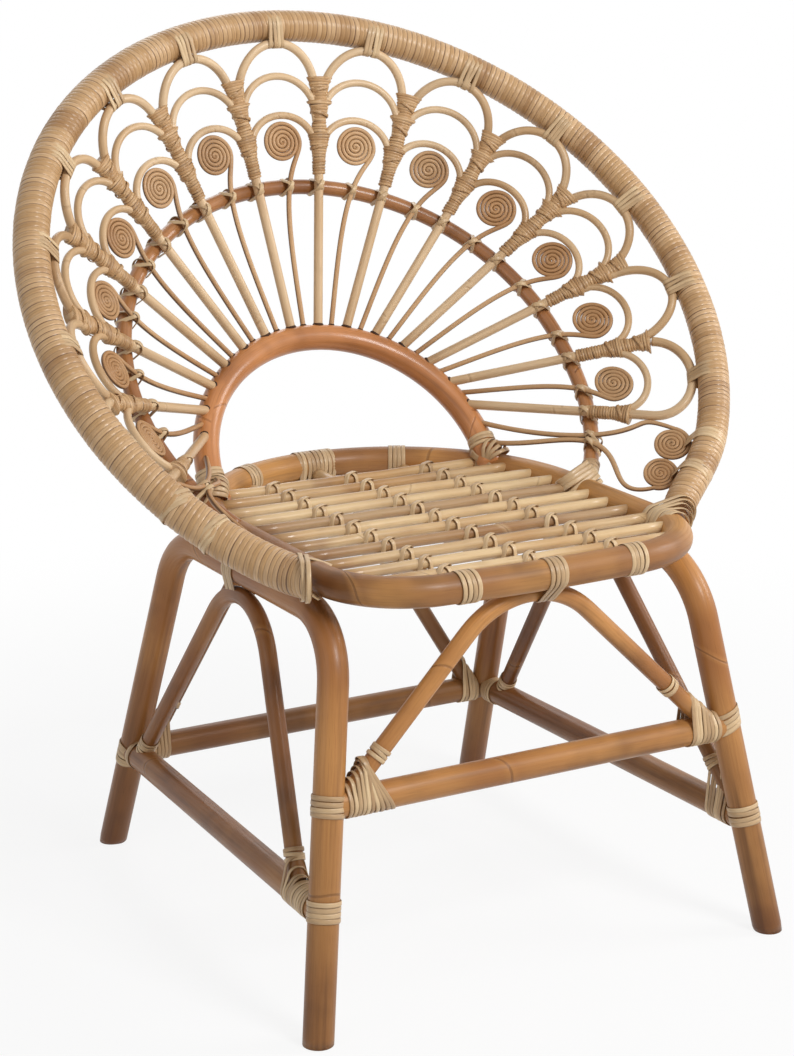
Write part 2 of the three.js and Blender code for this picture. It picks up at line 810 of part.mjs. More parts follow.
// The winding: bands with a groove between each two, on a bore that clears the core
function windingForm() {
  const crests = hoopRings(windingR, 0);
  const grooves = hoopRings(windingR - windingGroove, 0);
  const bore = loft(hoopRings(coreR + touchGap, cutOverrun));
  const partWay = (rings, row, share) => rings[row].map((corner, index) => (
    between(corner, rings[row + 1][index], share)
  ));
  const skin = [];
  for (let row = 0; row < crests.length - 1; row += 1) {
    for (let band = 0; band < bandsPerStep; band += 1) {
      skin.push(partWay(grooves, row, band / bandsPerStep));
      skin.push(partWay(crests, row, (band + 1 / 2) / bandsPerStep));
    }
  }
  skin.push(grooves[grooves.length - 1]);
  const ties = bayTurns.map((turn) => hoopTie(turn, 0));
  return cutBy(joined([loft(skin), ...ties]), [bore, mitreBlock()]);
}

addPiece('hoop_core', loft(hoopRings(coreR, 0)).subtract(mitreBlock()), 'core');
addPiece('hoop_winding', windingForm(), 'peel');
const hoopClear = joined([
  loft(hoopRings(windingR + touchGap, 0)),
  ...bayTurns.map((turn) => hoopTie(turn, touchGap)),
]);

// Middle ring: behind the spokes, both ends on the seat ring

const middlePlaces = spread(middleSteps).map((step) => {
  const turn = middleTurn * (step * 2 - 1);
  const past = Math.max(turn - middleFlare.turn, 0) / (middleTurn - middleFlare.turn);
  return { share: middleShare + middleFlare.share * past ** middleFlare.bend, turn };
});
const middleDepth = spokeR + middleR + touchGap + middleStray;
const middleForm = fanPole(middlePlaces, middleDepth, middleR, braceSides);
addPiece('middle_ring', middleForm.subtract(ringClear), 'arch');

// Spokes of the fan, counted from the top down each side

const spokeTurn = (number) => bayTurn * (number - 1 / 2);
const spokeStart = (turn) => (archR - holeDepth) / fanLength(turn);

// An outer bow bears on the hoop with its top, from below and in front
function outerBowPeak(turn) {
  const apart = windingR + growthAt(turn) + tieThickness + outerBowR - bowBearing;
  return 1 - Math.sqrt(apart * apart - outerBowLift * outerBowLift) / fanLength(turn);
}

// The last spoke bends over at its top and makes the outer bow of the last bay itself
function lastBowPlaces(side) {
  const bayMiddle = bayTurn * (spokesEachSide - 1);
  const turn = side * bayMiddle;
  const peak = 1 - (windingR + growthAt(turn) + tieThickness + spokeR) / fanLength(turn);
  const height = peak - spokeShares.bend;
  return spread(bowSteps + 1).map((share) => ({
    share: spokeShares.bend + height * Math.sin(lastBowEnd * share),
    turn: side * (bayMiddle + (bayTurn / 2) * Math.cos(lastBowEnd * share)),
  }));
}

function spokePlaces(number, side) {
  const turn = side * spokeTurn(number);
  const start = { share: spokeStart(turn), turn };
  if (number === spokesEachSide) {
    return [start, ...lastBowPlaces(side)];
  }
  const end = number < spokesEachSide - 1 ? spokeShares.end : spokeShares.lowEnd;
  return [start, { share: end, turn }];
}

// A bow between two spokes; its top stands in front of the face of the fan by lift
function bowForm(bayMiddle, endShare, peakShare, radius, lift) {
  const half = bayTurn / 2 - bowInset * turnPerLength(endShare, bayMiddle);
  const start = endShare - bowTuckShare;
  const low = Math.sin(bowStart);
  const rises = spread(bowSteps).map((share) => {
    const angle = bowStart + (Math.PI - bowStart * 2) * share;
    return { angle, rise: (Math.sin(angle) - low) / (1 - low) };
  });
  const places = rises.map(({ angle, rise }) => ({
    share: start + (peakShare - start) * rise,
    turn: bayMiddle - (half * Math.cos(angle)) / Math.cos(bowStart),
  }));
  const stations = places.map(({ share, turn }, index) => (
    fanPoint(share, turn).addScaledVector(fanFront(share, turn), lift * rises[index].rise)
  ));
  return pole(stations, radius, bowSides, fanSides(places));
}

// The bows of one bay, counted from the top bay (0) down each side
function bayBows(bay, side) {
  const turn = side * bayTurn * bay;
  const { inner, second, outer, lowInner, lowOuter } = bowShares;
  if (bay <= threeBowBays) {
    return [
      bowForm(turn, inner.end, inner.peak, innerBowR, 0),
      bowForm(turn, second.end, second.peak, innerBowR, 0),
      bowForm(turn, outer.end, outerBowPeak(turn), outerBowR, outerBowLift),
    ];
  }
  const bows = [bowForm(turn, lowInner.end, lowInner.peak, innerBowR, 0)];
  if (bay < spokesEachSide - 1) {
    bows.push(bowForm(turn, lowOuter.end, outerBowPeak(turn), outerBowR, outerBowLift));
  }
  return bows;
}

function cupShares(number) {
  const { inner, second, outer, lowInner, lowOuter } = bowShares;
  if (number <= threeBowBays + 1) {
    return [inner.end, second.end, outer.end];
  }
  return number < spokesEachSide ? [lowInner.end, lowOuter.end] : [lowInner.end];
}

// The peel bound over a spoke: it swells to a cup at every joint with the bows
function bindingForm(number, side, grow) {
  const turn = side * spokeTurn(number);
  const { start, neck, cup, cupDepth } = bindingHalves;
  const profile = [[bindingStartShare, start, start]];
  for (const share of cupShares(number)) {
    profile.push([share, cup, cupDepth]);
    profile.push([share + rimShare, neck, neck]);
  }
  const front = fanFront(bindingStartShare, turn);
  const line = new PoleLine([fanPoint(0, turn), fanPoint(1, turn)], front).frameAt(0);
  const turned = { normal: line.binormal, binormal: line.normal.clone().negate() };
  return loft(profile.map(([share, width, depth]) => (
    oval(fanPoint(share, turn), turned, width + grow, depth + grow, spokeSides)
  )));
}

function spokeForm(number, side, grow) {
  const stick = fanPole(spokePlaces(number, side), 0, spokeR + grow, spokeSides);
  return stick.add(bindingForm(number, side, grow));
}

// Every spoke carries the bows between it and the next spoke nearer the top
for (const [name, side] of Object.entries(sides)) {
  for (let number = 1; number <= spokesEachSide; number += 1) {
    const pieceName = `fan_spoke_${name}_${number}`;
    const stick = spokeForm(number, side, 0);
    if (number === 1 && side > 0) {
      addPiece(pieceName, stick.subtract(hoopClear), 'fan');
    } else {
      const next = number > 1
        ? spokeForm(number - 1, side, touchGap)
        : spokeForm(1, -side, touchGap);
      const whole = joined([stick, ...bayBows(number - 1, side)]);
      addPiece(pieceName, cutBy(whole, [next, hoopClear]), 'fan');
    }
  }
}

// Scrolls: a thin spoke that runs up beside the middle of its bay and curls up flat

const scrollRun = scrollDiameter / 2 - stripR;
const scrollPitch = scrollStripDiameter + scrollSlit;
const scrollDepth = spokeR - curlR;

// A place near a middle on the fan, in millimetres round and along the fan
function nearby(middle, round, outward) {
  const share = middle.share + outward / fanLength(middle.turn);
  return { share, turn: middle.turn + round * turnPerLength(share, middle.turn) };
}

// A scroll on its stem, which is led from the arch by the places sway and lead
function scrollPlaces(startTurn, middle, hand, sway, lead) {
  const start = { share: spokeStart(startTurn), turn: startTurn };
  const joint = nearby(middle, hand * scrollRun, 0);
  const last = lead ?? { share: joint.share - stemLeadShare, turn: joint.turn };
  const places = [start, sway, last, joint].map(({ share, turn }) => new THREE.Vector2(share, turn));
  const path = new THREE.CubicBezierCurve(...places);
  const stem = spread(stemSteps).slice(0, -1).map((step) => {
    const place = path.getPoint(step);
    return { share: place.x, turn: place.y };
  });
  const curl = spread(scrollTurns * stepsPerCurl).map((step) => {
    const angle = step * scrollTurns * Math.PI * 2;
    const radius = scrollRun - scrollPitch * scrollTurns * step;
    return nearby(middle, hand * radius * Math.cos(angle), radius * Math.sin(angle));
  });
  return { stem, curl };
}

function scrollForm({ stem, curl }, grow) {
  const places = [...stem, ...curl];
  const stations = fanStations(places, scrollDepth);
  const backwards = stations[0].clone().sub(stations[1]).normalize();
  stations[0].addScaledVector(backwards, grow);
  const line = new PoleLine(stations, fanSides(places));
  return loft(stations.map((middle, index) => {
    const radius = (index < stem.length ? curlR : stripR) + grow;
    return oval(middle, line.frameAt(index), radius, radius, curlSides);
  }));
}

const scrolls = [];
for (let bay = 1 - spokesEachSide; bay < spokesEachSide; bay += 1) {
  const turn = bayTurn * bay;
  const place = bay === 0 ? 'top' : `${bay < 0 ? 'left' : 'right'}_${Math.abs(bay)}`;
  const sway = { share: stemSway.share, turn: turn + stemSway.turn };
  const places = scrollPlaces(turn, { share: scrollShare, turn }, 1, sway);
  scrolls.push({ name: `scroll_${place}`, places });
}
for (const [name, side] of Object.entries(sides)) {
  const onSide = ({ share, turn }) => ({ share, turn: side * turn });
  lowScrolls.forEach(({ archTurn, middle, sway, lead, hand }, index) => {
    const startTurn = (side * archTurn) / archTurnShare;
    const led = [onSide(sway), onSide(lead)];
    const places = scrollPlaces(startTurn, onSide(middle), side * hand, ...led);
    scrolls.push({ name: `scroll_${name}_${spokesEachSide + index}`, places });
  });
}
for (const { name, places } of scrolls) {
  addPiece(name, scrollForm(places, 0), 'fan');
}

// Inner arch: stands on the seat ring, drilled for every spoke

function archForm() {
  const bend = spread(archSteps).map((share) => archPoint((share - 1 / 2) * Math.PI));
  const down = point(0, -Math.sin(archLean), -Math.cos(archLean)).multiplyScalar(archRise);
  const feet = [bend[0], bend[bend.length - 1]].map((end) => end.clone().add(down));
  const stations = [feet[0], ...bend, feet[1]];
  const front = along.clone().negate().applyAxisAngle(across, -archLean);
  const middle = between(bend[0], bend[bend.length - 1], 1 / 2);
  const tilt = Math.PI / archSides; // turns a flat of the section outwards, where the holes are
  const tilted = stations.map((station) => {
    const outward = station.clone().sub(middle).normalize();
    return front.clone().multiplyScalar(Math.cos(tilt)).addScaledVector(outward, Math.sin(tilt));
  });
  return pole(stations, archR, archSides, tilted);
}

function spokeHoles() {
  const cutters = [];
  for (const side of Object.values(sides)) {
    for (let number = 1; number <= spokesEachSide; number += 1) {
      const turn = side * spokeTurn(number);
      const bottom = { share: spokeStart(turn) - touchGap / fanLength(turn), turn };
      cutters.push(fanPole([bottom, { share: middleShare, turn }], 0, spokeR + touchGap, spokeSides));
    }
  }
  return [...cutters, ...scrolls.map(({ places }) => scrollForm(places, touchGap))];
}

addPiece('inner_arch', cutBy(archForm(), [ringClear, ...slatCutters, ...spokeHoles()]), 'arch');

// The origin: on the floor, at the middle of the width and of the depth
const box = new THREE.Box3().setFromObject(chair);
const centre = box.getCenter(new THREE.Vector3());
for (const mesh of chair.children) {
  mesh.geometry.translate(-centre.x, -centre.y, -box.min.z);
}

export default chair;
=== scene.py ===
import bpy
import numpy as np
from mathutils import Matrix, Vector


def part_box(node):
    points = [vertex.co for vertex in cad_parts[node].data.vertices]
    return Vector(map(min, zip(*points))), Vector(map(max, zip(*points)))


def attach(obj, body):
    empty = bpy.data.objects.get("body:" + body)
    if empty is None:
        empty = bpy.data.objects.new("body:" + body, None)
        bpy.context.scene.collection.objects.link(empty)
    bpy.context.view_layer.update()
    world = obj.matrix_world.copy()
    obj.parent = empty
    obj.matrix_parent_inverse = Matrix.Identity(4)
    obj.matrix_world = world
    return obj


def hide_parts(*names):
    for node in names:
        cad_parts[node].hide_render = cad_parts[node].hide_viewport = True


# A rattan peacock chair. Lengths are in millimetres until a mesh is made.
# The fan, the hoop and the poles follow the same circles and lines as the chair's source.

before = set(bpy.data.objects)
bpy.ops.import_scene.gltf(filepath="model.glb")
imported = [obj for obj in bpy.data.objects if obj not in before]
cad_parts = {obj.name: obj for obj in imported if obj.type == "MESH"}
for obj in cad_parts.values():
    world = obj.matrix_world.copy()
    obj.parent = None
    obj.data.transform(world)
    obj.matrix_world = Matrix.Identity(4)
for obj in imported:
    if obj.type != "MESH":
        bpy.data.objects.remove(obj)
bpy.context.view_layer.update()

dice = np.random.default_rng(7)
rail_low, rail_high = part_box("stretcher_front")
slat_low, slat_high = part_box("seat_slat_1")
FRONT_SLAT = -105.0
# The chair's source works from the middle of the front rail and from the front slat; the parts lie moved
MOVED = np.array([500.0 * (rail_low.x + rail_high.x), 500.0 * (slat_low.y + slat_high.y) - FRONT_SLAT, 0.0])

LEG_R, STRETCHER_R, BRACE_R, RING_R = 14.5, 13.5, 8.5, 14.5
SLAT_R, BEARER_R, ARCH_R, MIDDLE_R = 5.25, 7.0, 13.5, 8.0
SPOKE_R, STEM_R, COIL_R, OUTER_BOW_R, INNER_BOW_R = 4.95, 2.75, 2.19, 4.6, 3.9
WINDING_R, CORE_R, SWELL = 16.4, 14.7, 2.0
CLEARANCE = .3
SIDES = {"left": -1, "right": 1}


def spot(x, y, z):
    return np.array([x, y, z], float)


def unit(v):
    return v / np.linalg.norm(v, axis=-1, keepdims=True)


UP, ACROSS, ALONG = spot(0, 0, 1), spot(1, 0, 0), spot(0, 1, 0)


# ---- Surfaces ----

def run_of(line):
    """How far along the line each of its points lies."""
    return np.concatenate([[0], np.cumsum(np.linalg.norm(np.diff(line, axis=0), axis=1))])


def read(table, run, at):
    """The columns of a table whose rows lie at run, read at other places."""
    return np.stack([np.interp(at, run, column) for column in table.T], -1)


def evenly(line, spacing, closed=False):
    """The same line with points evenly apart along it, about spacing from one to the next."""
    if closed:
        line = np.vstack([line, line[:1]])
    run = run_of(line)
    at = np.linspace(0, run[-1], max(2, int(round(run[-1] / spacing))) + 1)
    return read(line, run, at[:-1] if closed else at)


def frames(line, hint, closed=False):
    """Ways along, out and aside at every point: along runs with the line, out is hint made square to it."""
    way = unit(np.roll(line, -1, 0) - np.roll(line, 1, 0) if closed else np.gradient(line, axis=0))
    hint = np.broadcast_to(hint, line.shape)
    out = unit(hint - (hint * way).sum(1, keepdims=True) * way)
    return way, out, np.cross(way, out)


def round_of(sides):
    return np.arange(sides) / sides * 2 * np.pi


def ovals(out, aside, deep, half, sides):
    """Round every point of a line the points of an oval, deep towards out and half towards aside."""
    angle = round_of(sides)
    return (deep[:, None, None] * np.cos(angle)[:, None] * out[:, None]
            + half[:, None, None] * np.sin(angle)[:, None] * aside[:, None])


def wall(grid, run, girth, loop=False, tone=0.5):
    """A closed skin over a grid of points: rows follow the piece, columns go round it.
    run is the place of each row along the piece, girth the length once round. Ends get a flat fan."""
    rows, sides = grid.shape[:2]
    index = np.arange(rows * sides).reshape(rows, sides)
    here, ahead = (index, np.roll(index, -1, 0)) if loop else (index[:-1], index[1:])
    quads = np.stack([here, np.roll(here, -1, 1), np.roll(ahead, -1, 1), ahead], -1).reshape(-1, 4)
    if loop:
        run = np.append(run, 2 * run[-1] - run[-2])
    place = np.stack(np.broadcast_arrays(run[:, None], np.arange(sides + 1) / sides * girth), -1)
    marks = np.stack([place[:-1, :-1], place[:-1, 1:], place[1:, 1:], place[1:, :-1]], 2).reshape(-1, 4, 2)
    points = grid.reshape(-1, 3)
    fans, fan_marks = np.zeros((0, 3), int), np.zeros((0, 3, 2))
    if not loop:
        first = np.stack([np.full(sides, len(points)), np.roll(index[0], -1), index[0]], -1)
        last = np.stack([np.full(sides, len(points) + 1), index[-1], np.roll(index[-1], -1)], -1)
        fans = np.vstack([first, last])
        points = np.vstack([points, grid[0].mean(0), grid[-1].mean(0)])
        fan_marks = points[fans] @ np.array([[1, 0], [0, 1], [.3, .3]])
    return {"points": points, "quads": quads, "marks": marks, "fans": fans, "fan_marks": fan_marks,
            "tone": tone}


def carry(line, radius, hint, sides=20, loop=False, tone=0.5, start=0.0):
    """A round section carried along a line, whose map begins at start."""
    _, out, aside = frames(line, hint, loop)
    radius = np.broadcast_to(radius, len(line)).astype(float)
    grid = line[:, None] + ovals(out, aside, radius, radius, sides)
    return wall(grid, run_of(line) + start, 2 * np.pi * radius.mean(), loop, tone)


def piece(name, walls, material, nodes=()):
    """One object from its walls, in metres, with the map Run (along, round) and the tone of each wall."""
    sizes = [len(w["points"]) for w in walls]
    starts = np.cumsum([0] + sizes[:-1])

    def joined(key, numbered=False):
        return np.vstack([w[key] + start * numbered for w, start in zip(walls, starts)])

    quads, fans = joined("quads", True), joined("fans", True)
    mesh = bpy.data.meshes.new(name)
    mesh.from_pydata((joined("points") + MOVED) / 1000, [], quads.tolist() + fans.tolist())
    mesh.polygons.foreach_set("use_smooth", np.ones(len(quads) + len(fans), bool))
    run = mesh.uv_layers.new(name="Run")
    marks = np.vstack([joined("marks").reshape(-1, 2), joined("fan_marks").reshape(-1, 2)])
    run.data.foreach_set("uv", (marks / 1000).astype(np.float32).ravel())
    tone = mesh.attributes.new("tone", "FLOAT", "POINT")
    tone.data.foreach_set("value", np.repeat([w["tone"] for w in walls], sizes).astype(np.float32))
    mesh.materials.append(material)
    mesh.update()
    made = bpy.data.objects.new(name, mesh)
    bpy.context.scene.collection.objects.link(made)
    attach(made, "root")
    if nodes:
        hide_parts(*nodes)


def pole(name, line, radius, hint, sides, material, slot, node, **more):
    """A piece that is one round section carried along a line, in the place of one node."""
    piece(name, [carry(line, radius, hint, sides, **more)], material, [node])


# ---- Finishes ----

def color(code):
    """A colour as it is seen, from 0xRRGGBB, made linear."""
    parts = np.array([(code >> 16) & 255, (code >> 8) & 255, code & 255]) / 255
    return (*np.where(parts <= .04045, parts / 12.92, ((parts + .055) / 1.055) ** 2.4), 1.0)


class Nodes:
    """A node tree, made node after node, each wired to what it reads."""

    def __init__(self, tree):
        self.tree = tree
        tree.nodes.clear()

    def node(self, kind, **settings):
        made = self.tree.nodes.new(kind)
        for key, value in settings.items():
            setattr(made, key, value)
        return made

    def wire(self, source, target):
        self.tree.links.new(source, target)

    def feed(self, target, value):
        if isinstance(value, bpy.types.NodeSocket):
            self.wire(value, target)
        else:
            target.default_value = value

    def put(self, made, **values):
        """Sets or wires inputs by name, an underscore for each space."""
        for key, value in values.items():
            self.feed(made.inputs[key.replace("_", " ")], value)
        return made

    def math(self, kind, *values):
        made = self.node("ShaderNodeMath", operation=kind)
        for target, value in zip(made.inputs, values):
            self.feed(target, value)
        return made.outputs["Value"]

    def times(self, a, b):
        return self.math("MULTIPLY", a, b)

    def plus(self, a, b):
        return self.math("ADD", a, b)

    def in_sight(self):
        """1 on rays from the camera, straight, mirrored or through glass; 0 on those that light things."""
        seen = self.node("ShaderNodeLightPath").outputs
        return self.math("MAXIMUM", self.math("MAXIMUM", seen["Is Camera Ray"], seen["Is Glossy Ray"]),
                         seen["Is Transmission Ray"])

    def blend(self, share, first, second):
        made = self.node("ShaderNodeMixShader")
        for target, source in zip(made.inputs, (share, first, second)):
            self.wire(source, target)
        return made.outputs["Shader"]


class Finish(Nodes):
    """A material, from its shader backwards."""

    def __init__(self, name, gloss=.3):
        self.material = bpy.data.materials.new(name)
        self.material.use_nodes = True
        super().__init__(self.material.node_tree)
        self.shader = self.put(self.node("ShaderNodeBsdfPrincipled"), Specular_IOR_Level=gloss)
        self.end = self.node("ShaderNodeOutputMaterial")
        self.wire(self.shader.outputs["BSDF"], self.end.inputs["Surface"])

    def run(self, along=1, around=1, shift=0.0):
        """The map Run, stretched: along and around are how often a pattern repeats in a metre."""
        uv = self.node("ShaderNodeUVMap", uv_map="Run").outputs["UV"]
        return self.put(self.node("ShaderNodeMapping"), Vector=uv, Scale=(along, around, 1),
                        Location=(shift, shift, 0)).outputs["Vector"]

    def place(self, scale=1):
        """The piece's own place in space, times scale."""
        own = self.node("ShaderNodeTexCoord").outputs["Object"]
        return self.put(self.node("ShaderNodeMapping"), Vector=own, Scale=(scale,) * 3).outputs["Vector"]

    def part(self, vector, axis):
        return self.put(self.node("ShaderNodeSeparateXYZ"), Vector=vector).outputs[axis]

    def noise(self, vector, detail=3.0, rough=.5):
        return self.put(self.node("ShaderNodeTexNoise"), Vector=vector, Scale=1.0, Detail=detail,
                        Roughness=rough).outputs["Fac"]

    def chance(self, number):
        """A random share for every whole number."""
        made = self.node("ShaderNodeTexWhiteNoise", noise_dimensions="1D")
        return self.put(made, W=number).outputs["Value"]

    def fold(self, value):
        """How far value is from the middle between two whole numbers."""
        return self.math("ABSOLUTE", self.math("SUBTRACT", self.math("FRACT", value), .5))

    def spread(self, value, low, high, to_low=0.0, to_high=1.0):
        made = self.node("ShaderNodeMapRange", interpolation_type="SMOOTHSTEP")
        return self.put(made, Value=value, From_Min=low, From_Max=high, To_Min=to_low,
                        To_Max=to_high).outputs["Result"]

    def mix(self, share, a, b):
        made = self.node("ShaderNodeMix", data_type="RGBA", blend_type="MIX")
        return self.put(made, Factor=share, A=a, B=b).outputs["Result"]

    def stained(self, base, *stains):
        """base under stains, each (code, value, low, high, share, least): its colour covers base by least
        where value is low, and by share where it is high."""
        for code, value, low, high, share, *least in stains:
            base = self.mix(self.spread(value, low, high, least[0] if least else 0, share), base, color(code))
        return base

    def tone(self):
        return self.node("ShaderNodeAttribute", attribute_name="tone").outputs["Fac"]

    def lacquered(self, base, grain, matt, bright, coat, coat_rough, height, depth):
        """The colour, a roughness that follows the grain from matt to bright, the coat and the relief."""
        bump = self.put(self.node("ShaderNodeBump"), Distance=depth, Strength=.6, Height=height)
        self.put(self.shader, Base_Color=base, Roughness=self.spread(grain, .3, .7, matt, bright),
                 Coat_Weight=coat, Coat_Roughness=coat_rough, Normal=bump.outputs["Normal"])
        return self.material


def pole_finish(name, pale, middle, deep, rough, coat, ring_gap, ring_depth=.35, seam_shade=0, low=0):
    """Lacquered rattan pole: long fine grain, broad darker stains, and a node ring every ring_gap metres.
    low paints shade that darkens the pole towards the floor. seam paints shade on both sides, where the turns
    of a coil meet; the map then runs from 0 to 1 round the strip."""
    f = Finish(name)
    grain = f.noise(f.run(14, 420), 4, .62)
    fine = f.noise(f.run(40, 1500, .3), 2, .5)
    stain = f.noise(f.place(9), 3, .6)
    streak = f.noise(f.run(3.5, 70, .7), 3, .55)
    warm = f.noise(f.place(5.5), 2, .5)
    base = f.mix(f.spread(warm, .38, .62), color(middle), color(pale))
    base = f.stained(base, (middle, grain, .4, .7, .35), (deep, streak, .5, .8, .6),
                     (deep, stain, .5, .75, .55), (deep, fine, .55, .8, .35),
                     (deep, f.tone(), 0, .5, 0, .75), (pale, f.tone(), .5, 1, .6))
    wander = f.times(f.noise(f.run(1.7, 9), 1), .5)
    off = f.fold(f.plus(f.math("DIVIDE", f.part(f.run(), "X"), ring_gap), wander))
    line = f.spread(off, .0006 / ring_gap, .0019 / ring_gap, 1, 0)
    halo = f.spread(off, .0015 / ring_gap, .009 / ring_gap, 1, 0)
    base = f.mix(f.times(halo, .3), base, color(pale))
    base = f.mix(f.times(line, ring_depth), base, color(deep))
    # Painted shade: the pole darkens towards the floor.
    if low:
        base = f.stained(base, (deep, f.part(f.place(), "Z"), 0, .36, 0, low))
    # Painted shade on both sides of the coil, where its turns meet.
    if seam_shade:
        base = f.stained(base, (seam_shade, f.fold(f.times(f.part(f.run(), "Y"), 2)), .05, .22, 0, .9))
    relief = f.plus(f.plus(f.times(grain, .5), f.times(line, -.8)), f.times(halo, .7))
    return f.lacquered(base, grain, rough - .05, rough + .09, coat, .16, relief, .0006)


def peel_finish(name, pale, middle, deep, rough, coat, seam_shade):
    """Rattan peel: a flat strip with the grain along it, each strip or turn in its own tone, with painted
    shade along both edges. The map runs from 0 to 1 round the strip."""
    f = Finish(name)
    grain = f.noise(f.run(55, 14), 3, .6)
    streak = f.noise(f.run(12, 3.5, .4), 2, .5)
    base = f.mix(f.tone(), color(deep), color(pale))
    # Painted shade along both edges of each strip.
    edge = f.fold(f.plus(f.times(f.part(f.run(), "Y"), 2), .125))
    base = f.stained(base, (middle, grain, .35, .68, .6), (deep, streak, .54, .74, .45),
                     (deep, f.noise(f.place(16), 3, .6), .55, .8, .35), (seam_shade, edge, .34, .47, .75))
    relief = f.plus(grain, f.times(streak, .6))
    return f.lacquered(base, grain, rough - .04, rough + .1, coat, .22, relief, .0002)


def winding_finish(name, pale, middle, deep, rough, coat, seam_shade, dark):
    """Peel wound turn by turn. Run holds the turn's number along and the length round it: every turn has
    its own tone, grain that goes round with it, and painted shade in the slits at its edges, where it meets
    the next turn, of its own share of dark, from least to most."""
    f = Finish(name)
    around = f.part(f.run(), "Y")
    count = f.times(f.part(f.run(), "X"), 1000)
    number, within = f.math("FLOOR", count), f.math("FRACT", count)
    slow = f.put(f.node("ShaderNodeTexNoise", noise_dimensions="1D"), W=count, Scale=.11).outputs["Fac"]
    across = f.plus(f.times(number, 5.37), f.times(within, 5.0))
    fine_place = f.put(f.node("ShaderNodeCombineXYZ"), X=across, Y=f.times(around, 34))
    grain = f.noise(fine_place.outputs["Vector"], 3, .6)
    broad_place = f.put(f.node("ShaderNodeCombineXYZ"), X=f.times(number, 3.1), Y=f.times(around, 11))
    base = f.mix(f.chance(number), color(middle), color(pale))
    base = f.stained(base, (deep, slow, .5, .72, .5), (deep, grain, .46, .74, .5),
                     (deep, f.noise(broad_place.outputs["Vector"], 1), .6, .8, .4))
    # Painted shade in the slit where each turn meets the next, of a chance strength on each turn.
    strong = f.spread(f.chance(f.math("FLOOR", f.plus(count, .5))), .1, 1, *dark)
    base = f.mix(f.times(f.spread(f.fold(count), .38, .49), strong), base, color(seam_shade))
    # The slit shade colour again, fainter, along the edges and across the middle of each turn.
    base = f.stained(base, (seam_shade, f.fold(f.times(count, 2)), .4, .5, .22))
    return f.lacquered(base, grain, rough - .05, rough + .1, coat, .2, grain, .00025)


# leg_cane's last number, .5, paints shade that darkens the legs towards the floor.
leg_cane = pole_finish("leg_cane", 0xC58C50, 0x9F6736, 0x48260F, .37, .09, .47, .4, 0, .5)
ring_cane = pole_finish("seat_ring_cane", 0xC48E50, 0x94643A, 0x452712, .42, .07, .71, .4)
slat_cane = pole_finish("slat_cane", 0xDCC094, 0xC09765, 0x703F1D, .3, .3, .63, .25)
arch_cane = pole_finish("arch_cane", 0xD7955F, 0xB87845, 0x623315, .3, .22, .39)
middle_cane = pole_finish("middle_ring_cane", 0xB0794A, 0x8C582F, 0x482810, .3, .3, .23, .5)
reed = pole_finish("fan_reed", 0xDABD97, 0xC6A379, 0x876038, .42, .15, .31, .25)
# In coil_reed the last colour is painted shade where the turns of each scroll meet.
coil_reed = pole_finish("coil_reed", 0xCFA97E, 0xB5895D, 0x80552F, .42, .12, .9, 0, 0x52331B)
core_cane = pole_finish("core_cane", 0xB98C5D, 0xA3744A, 0x7A5030, .45, .1, .3)
bore_shade = pole_finish("bore_shade", 0x4A2E1B, 0x3A2313, 0x26150B, .7, 0, .3)
# In lashing_peel the last colour is painted shade along the edges of the strips.
peel = peel_finish("lashing_peel", 0xDABF97, 0xC4A175, 0x896443, .36, .15, 0x5A3C22)
# In hoop_peel and column_peel the last colour is painted shade in the slits between turns; the pair after it
# sets how strong that shade is.
hoop_peel = winding_finish("hoop_peel", 0xD0AC82, 0xBA9365, 0x8C623A, .36, .16, 0x573921, (.1, .95))
column_peel = winding_finish("column_peel", 0xCFAB7F, 0xB88F62, 0x855E36, .38, .14, 0x4A2E19, (.3, 1))


# ---- The lines that the poles follow ----

def bent(corners, radius, steps=14):
    """Straight from corner to corner, with each inner corner rounded to radius."""
    parts = [corners[:1]]
    share = np.linspace(0, 1, steps + 1)[:, None]
    for before, corner, after in zip(corners[:-2], corners[1:-1], corners[2:]):
        back, ahead = unit(before - corner), unit(after - corner)
        half = np.arccos(np.clip(back @ ahead, -1, 1)) / 2
        middle = corner + unit(back + ahead) * radius / np.sin(half)
        first, last = (unit(corner + arm * radius / np.tan(half) - middle) for arm in (back, ahead))
        sweep = np.pi - 2 * half
        parts.append(middle + radius / np.sin(sweep) * (
            first * np.sin((1 - share) * sweep) + last * np.sin(share * sweep)))
    parts.append(corners[-1:])
    return np.vstack(parts)


def bezier(points, count):
    """The smooth line that four points lead, in count steps."""
    t = np.linspace(0, 1, count + 1)[:, None]
    a, b, c, d = points
    return (1 - t) ** 3 * a + 3 * (1 - t) ** 2 * t * b + 3 * (1 - t) * t ** 2 * c + t ** 3 * d


RING_Z, RING_HALF, RING_FRONT, SHOULDER, RING_REAR, FRONT_BOW = 400.0, 191.0, -140.0, 130.0, 330.0, 4.0
CORNER_R = {-1: 82.0, 1: 98.0}
RUN_Z = RING_Z - RING_R - LEG_R - CLEARANCE


def ring_front(x):
    half = RING_HALF - np.where(np.asarray(x) < 0, CORNER_R[-1], CORNER_R[1])
    return RING_FRONT - FRONT_BOW * (1 - (x / half) ** 2)


def ring_rear(x):
    return SHOULDER + (RING_REAR - SHOULDER) * np.sqrt(1 - (x / RING_HALF) ** 2)


def ring_half(y, side=-1):
    if y > SHOULDER:
        return RING_HALF * np.sqrt(1 - ((y - SHOULDER) / (RING_REAR - SHOULDER)) ** 2)
    radius = CORNER_R[side]
    inset = max(RING_FRONT + radius - y, 0)
    return RING_HALF - radius + np.sqrt(radius ** 2 - inset ** 2)


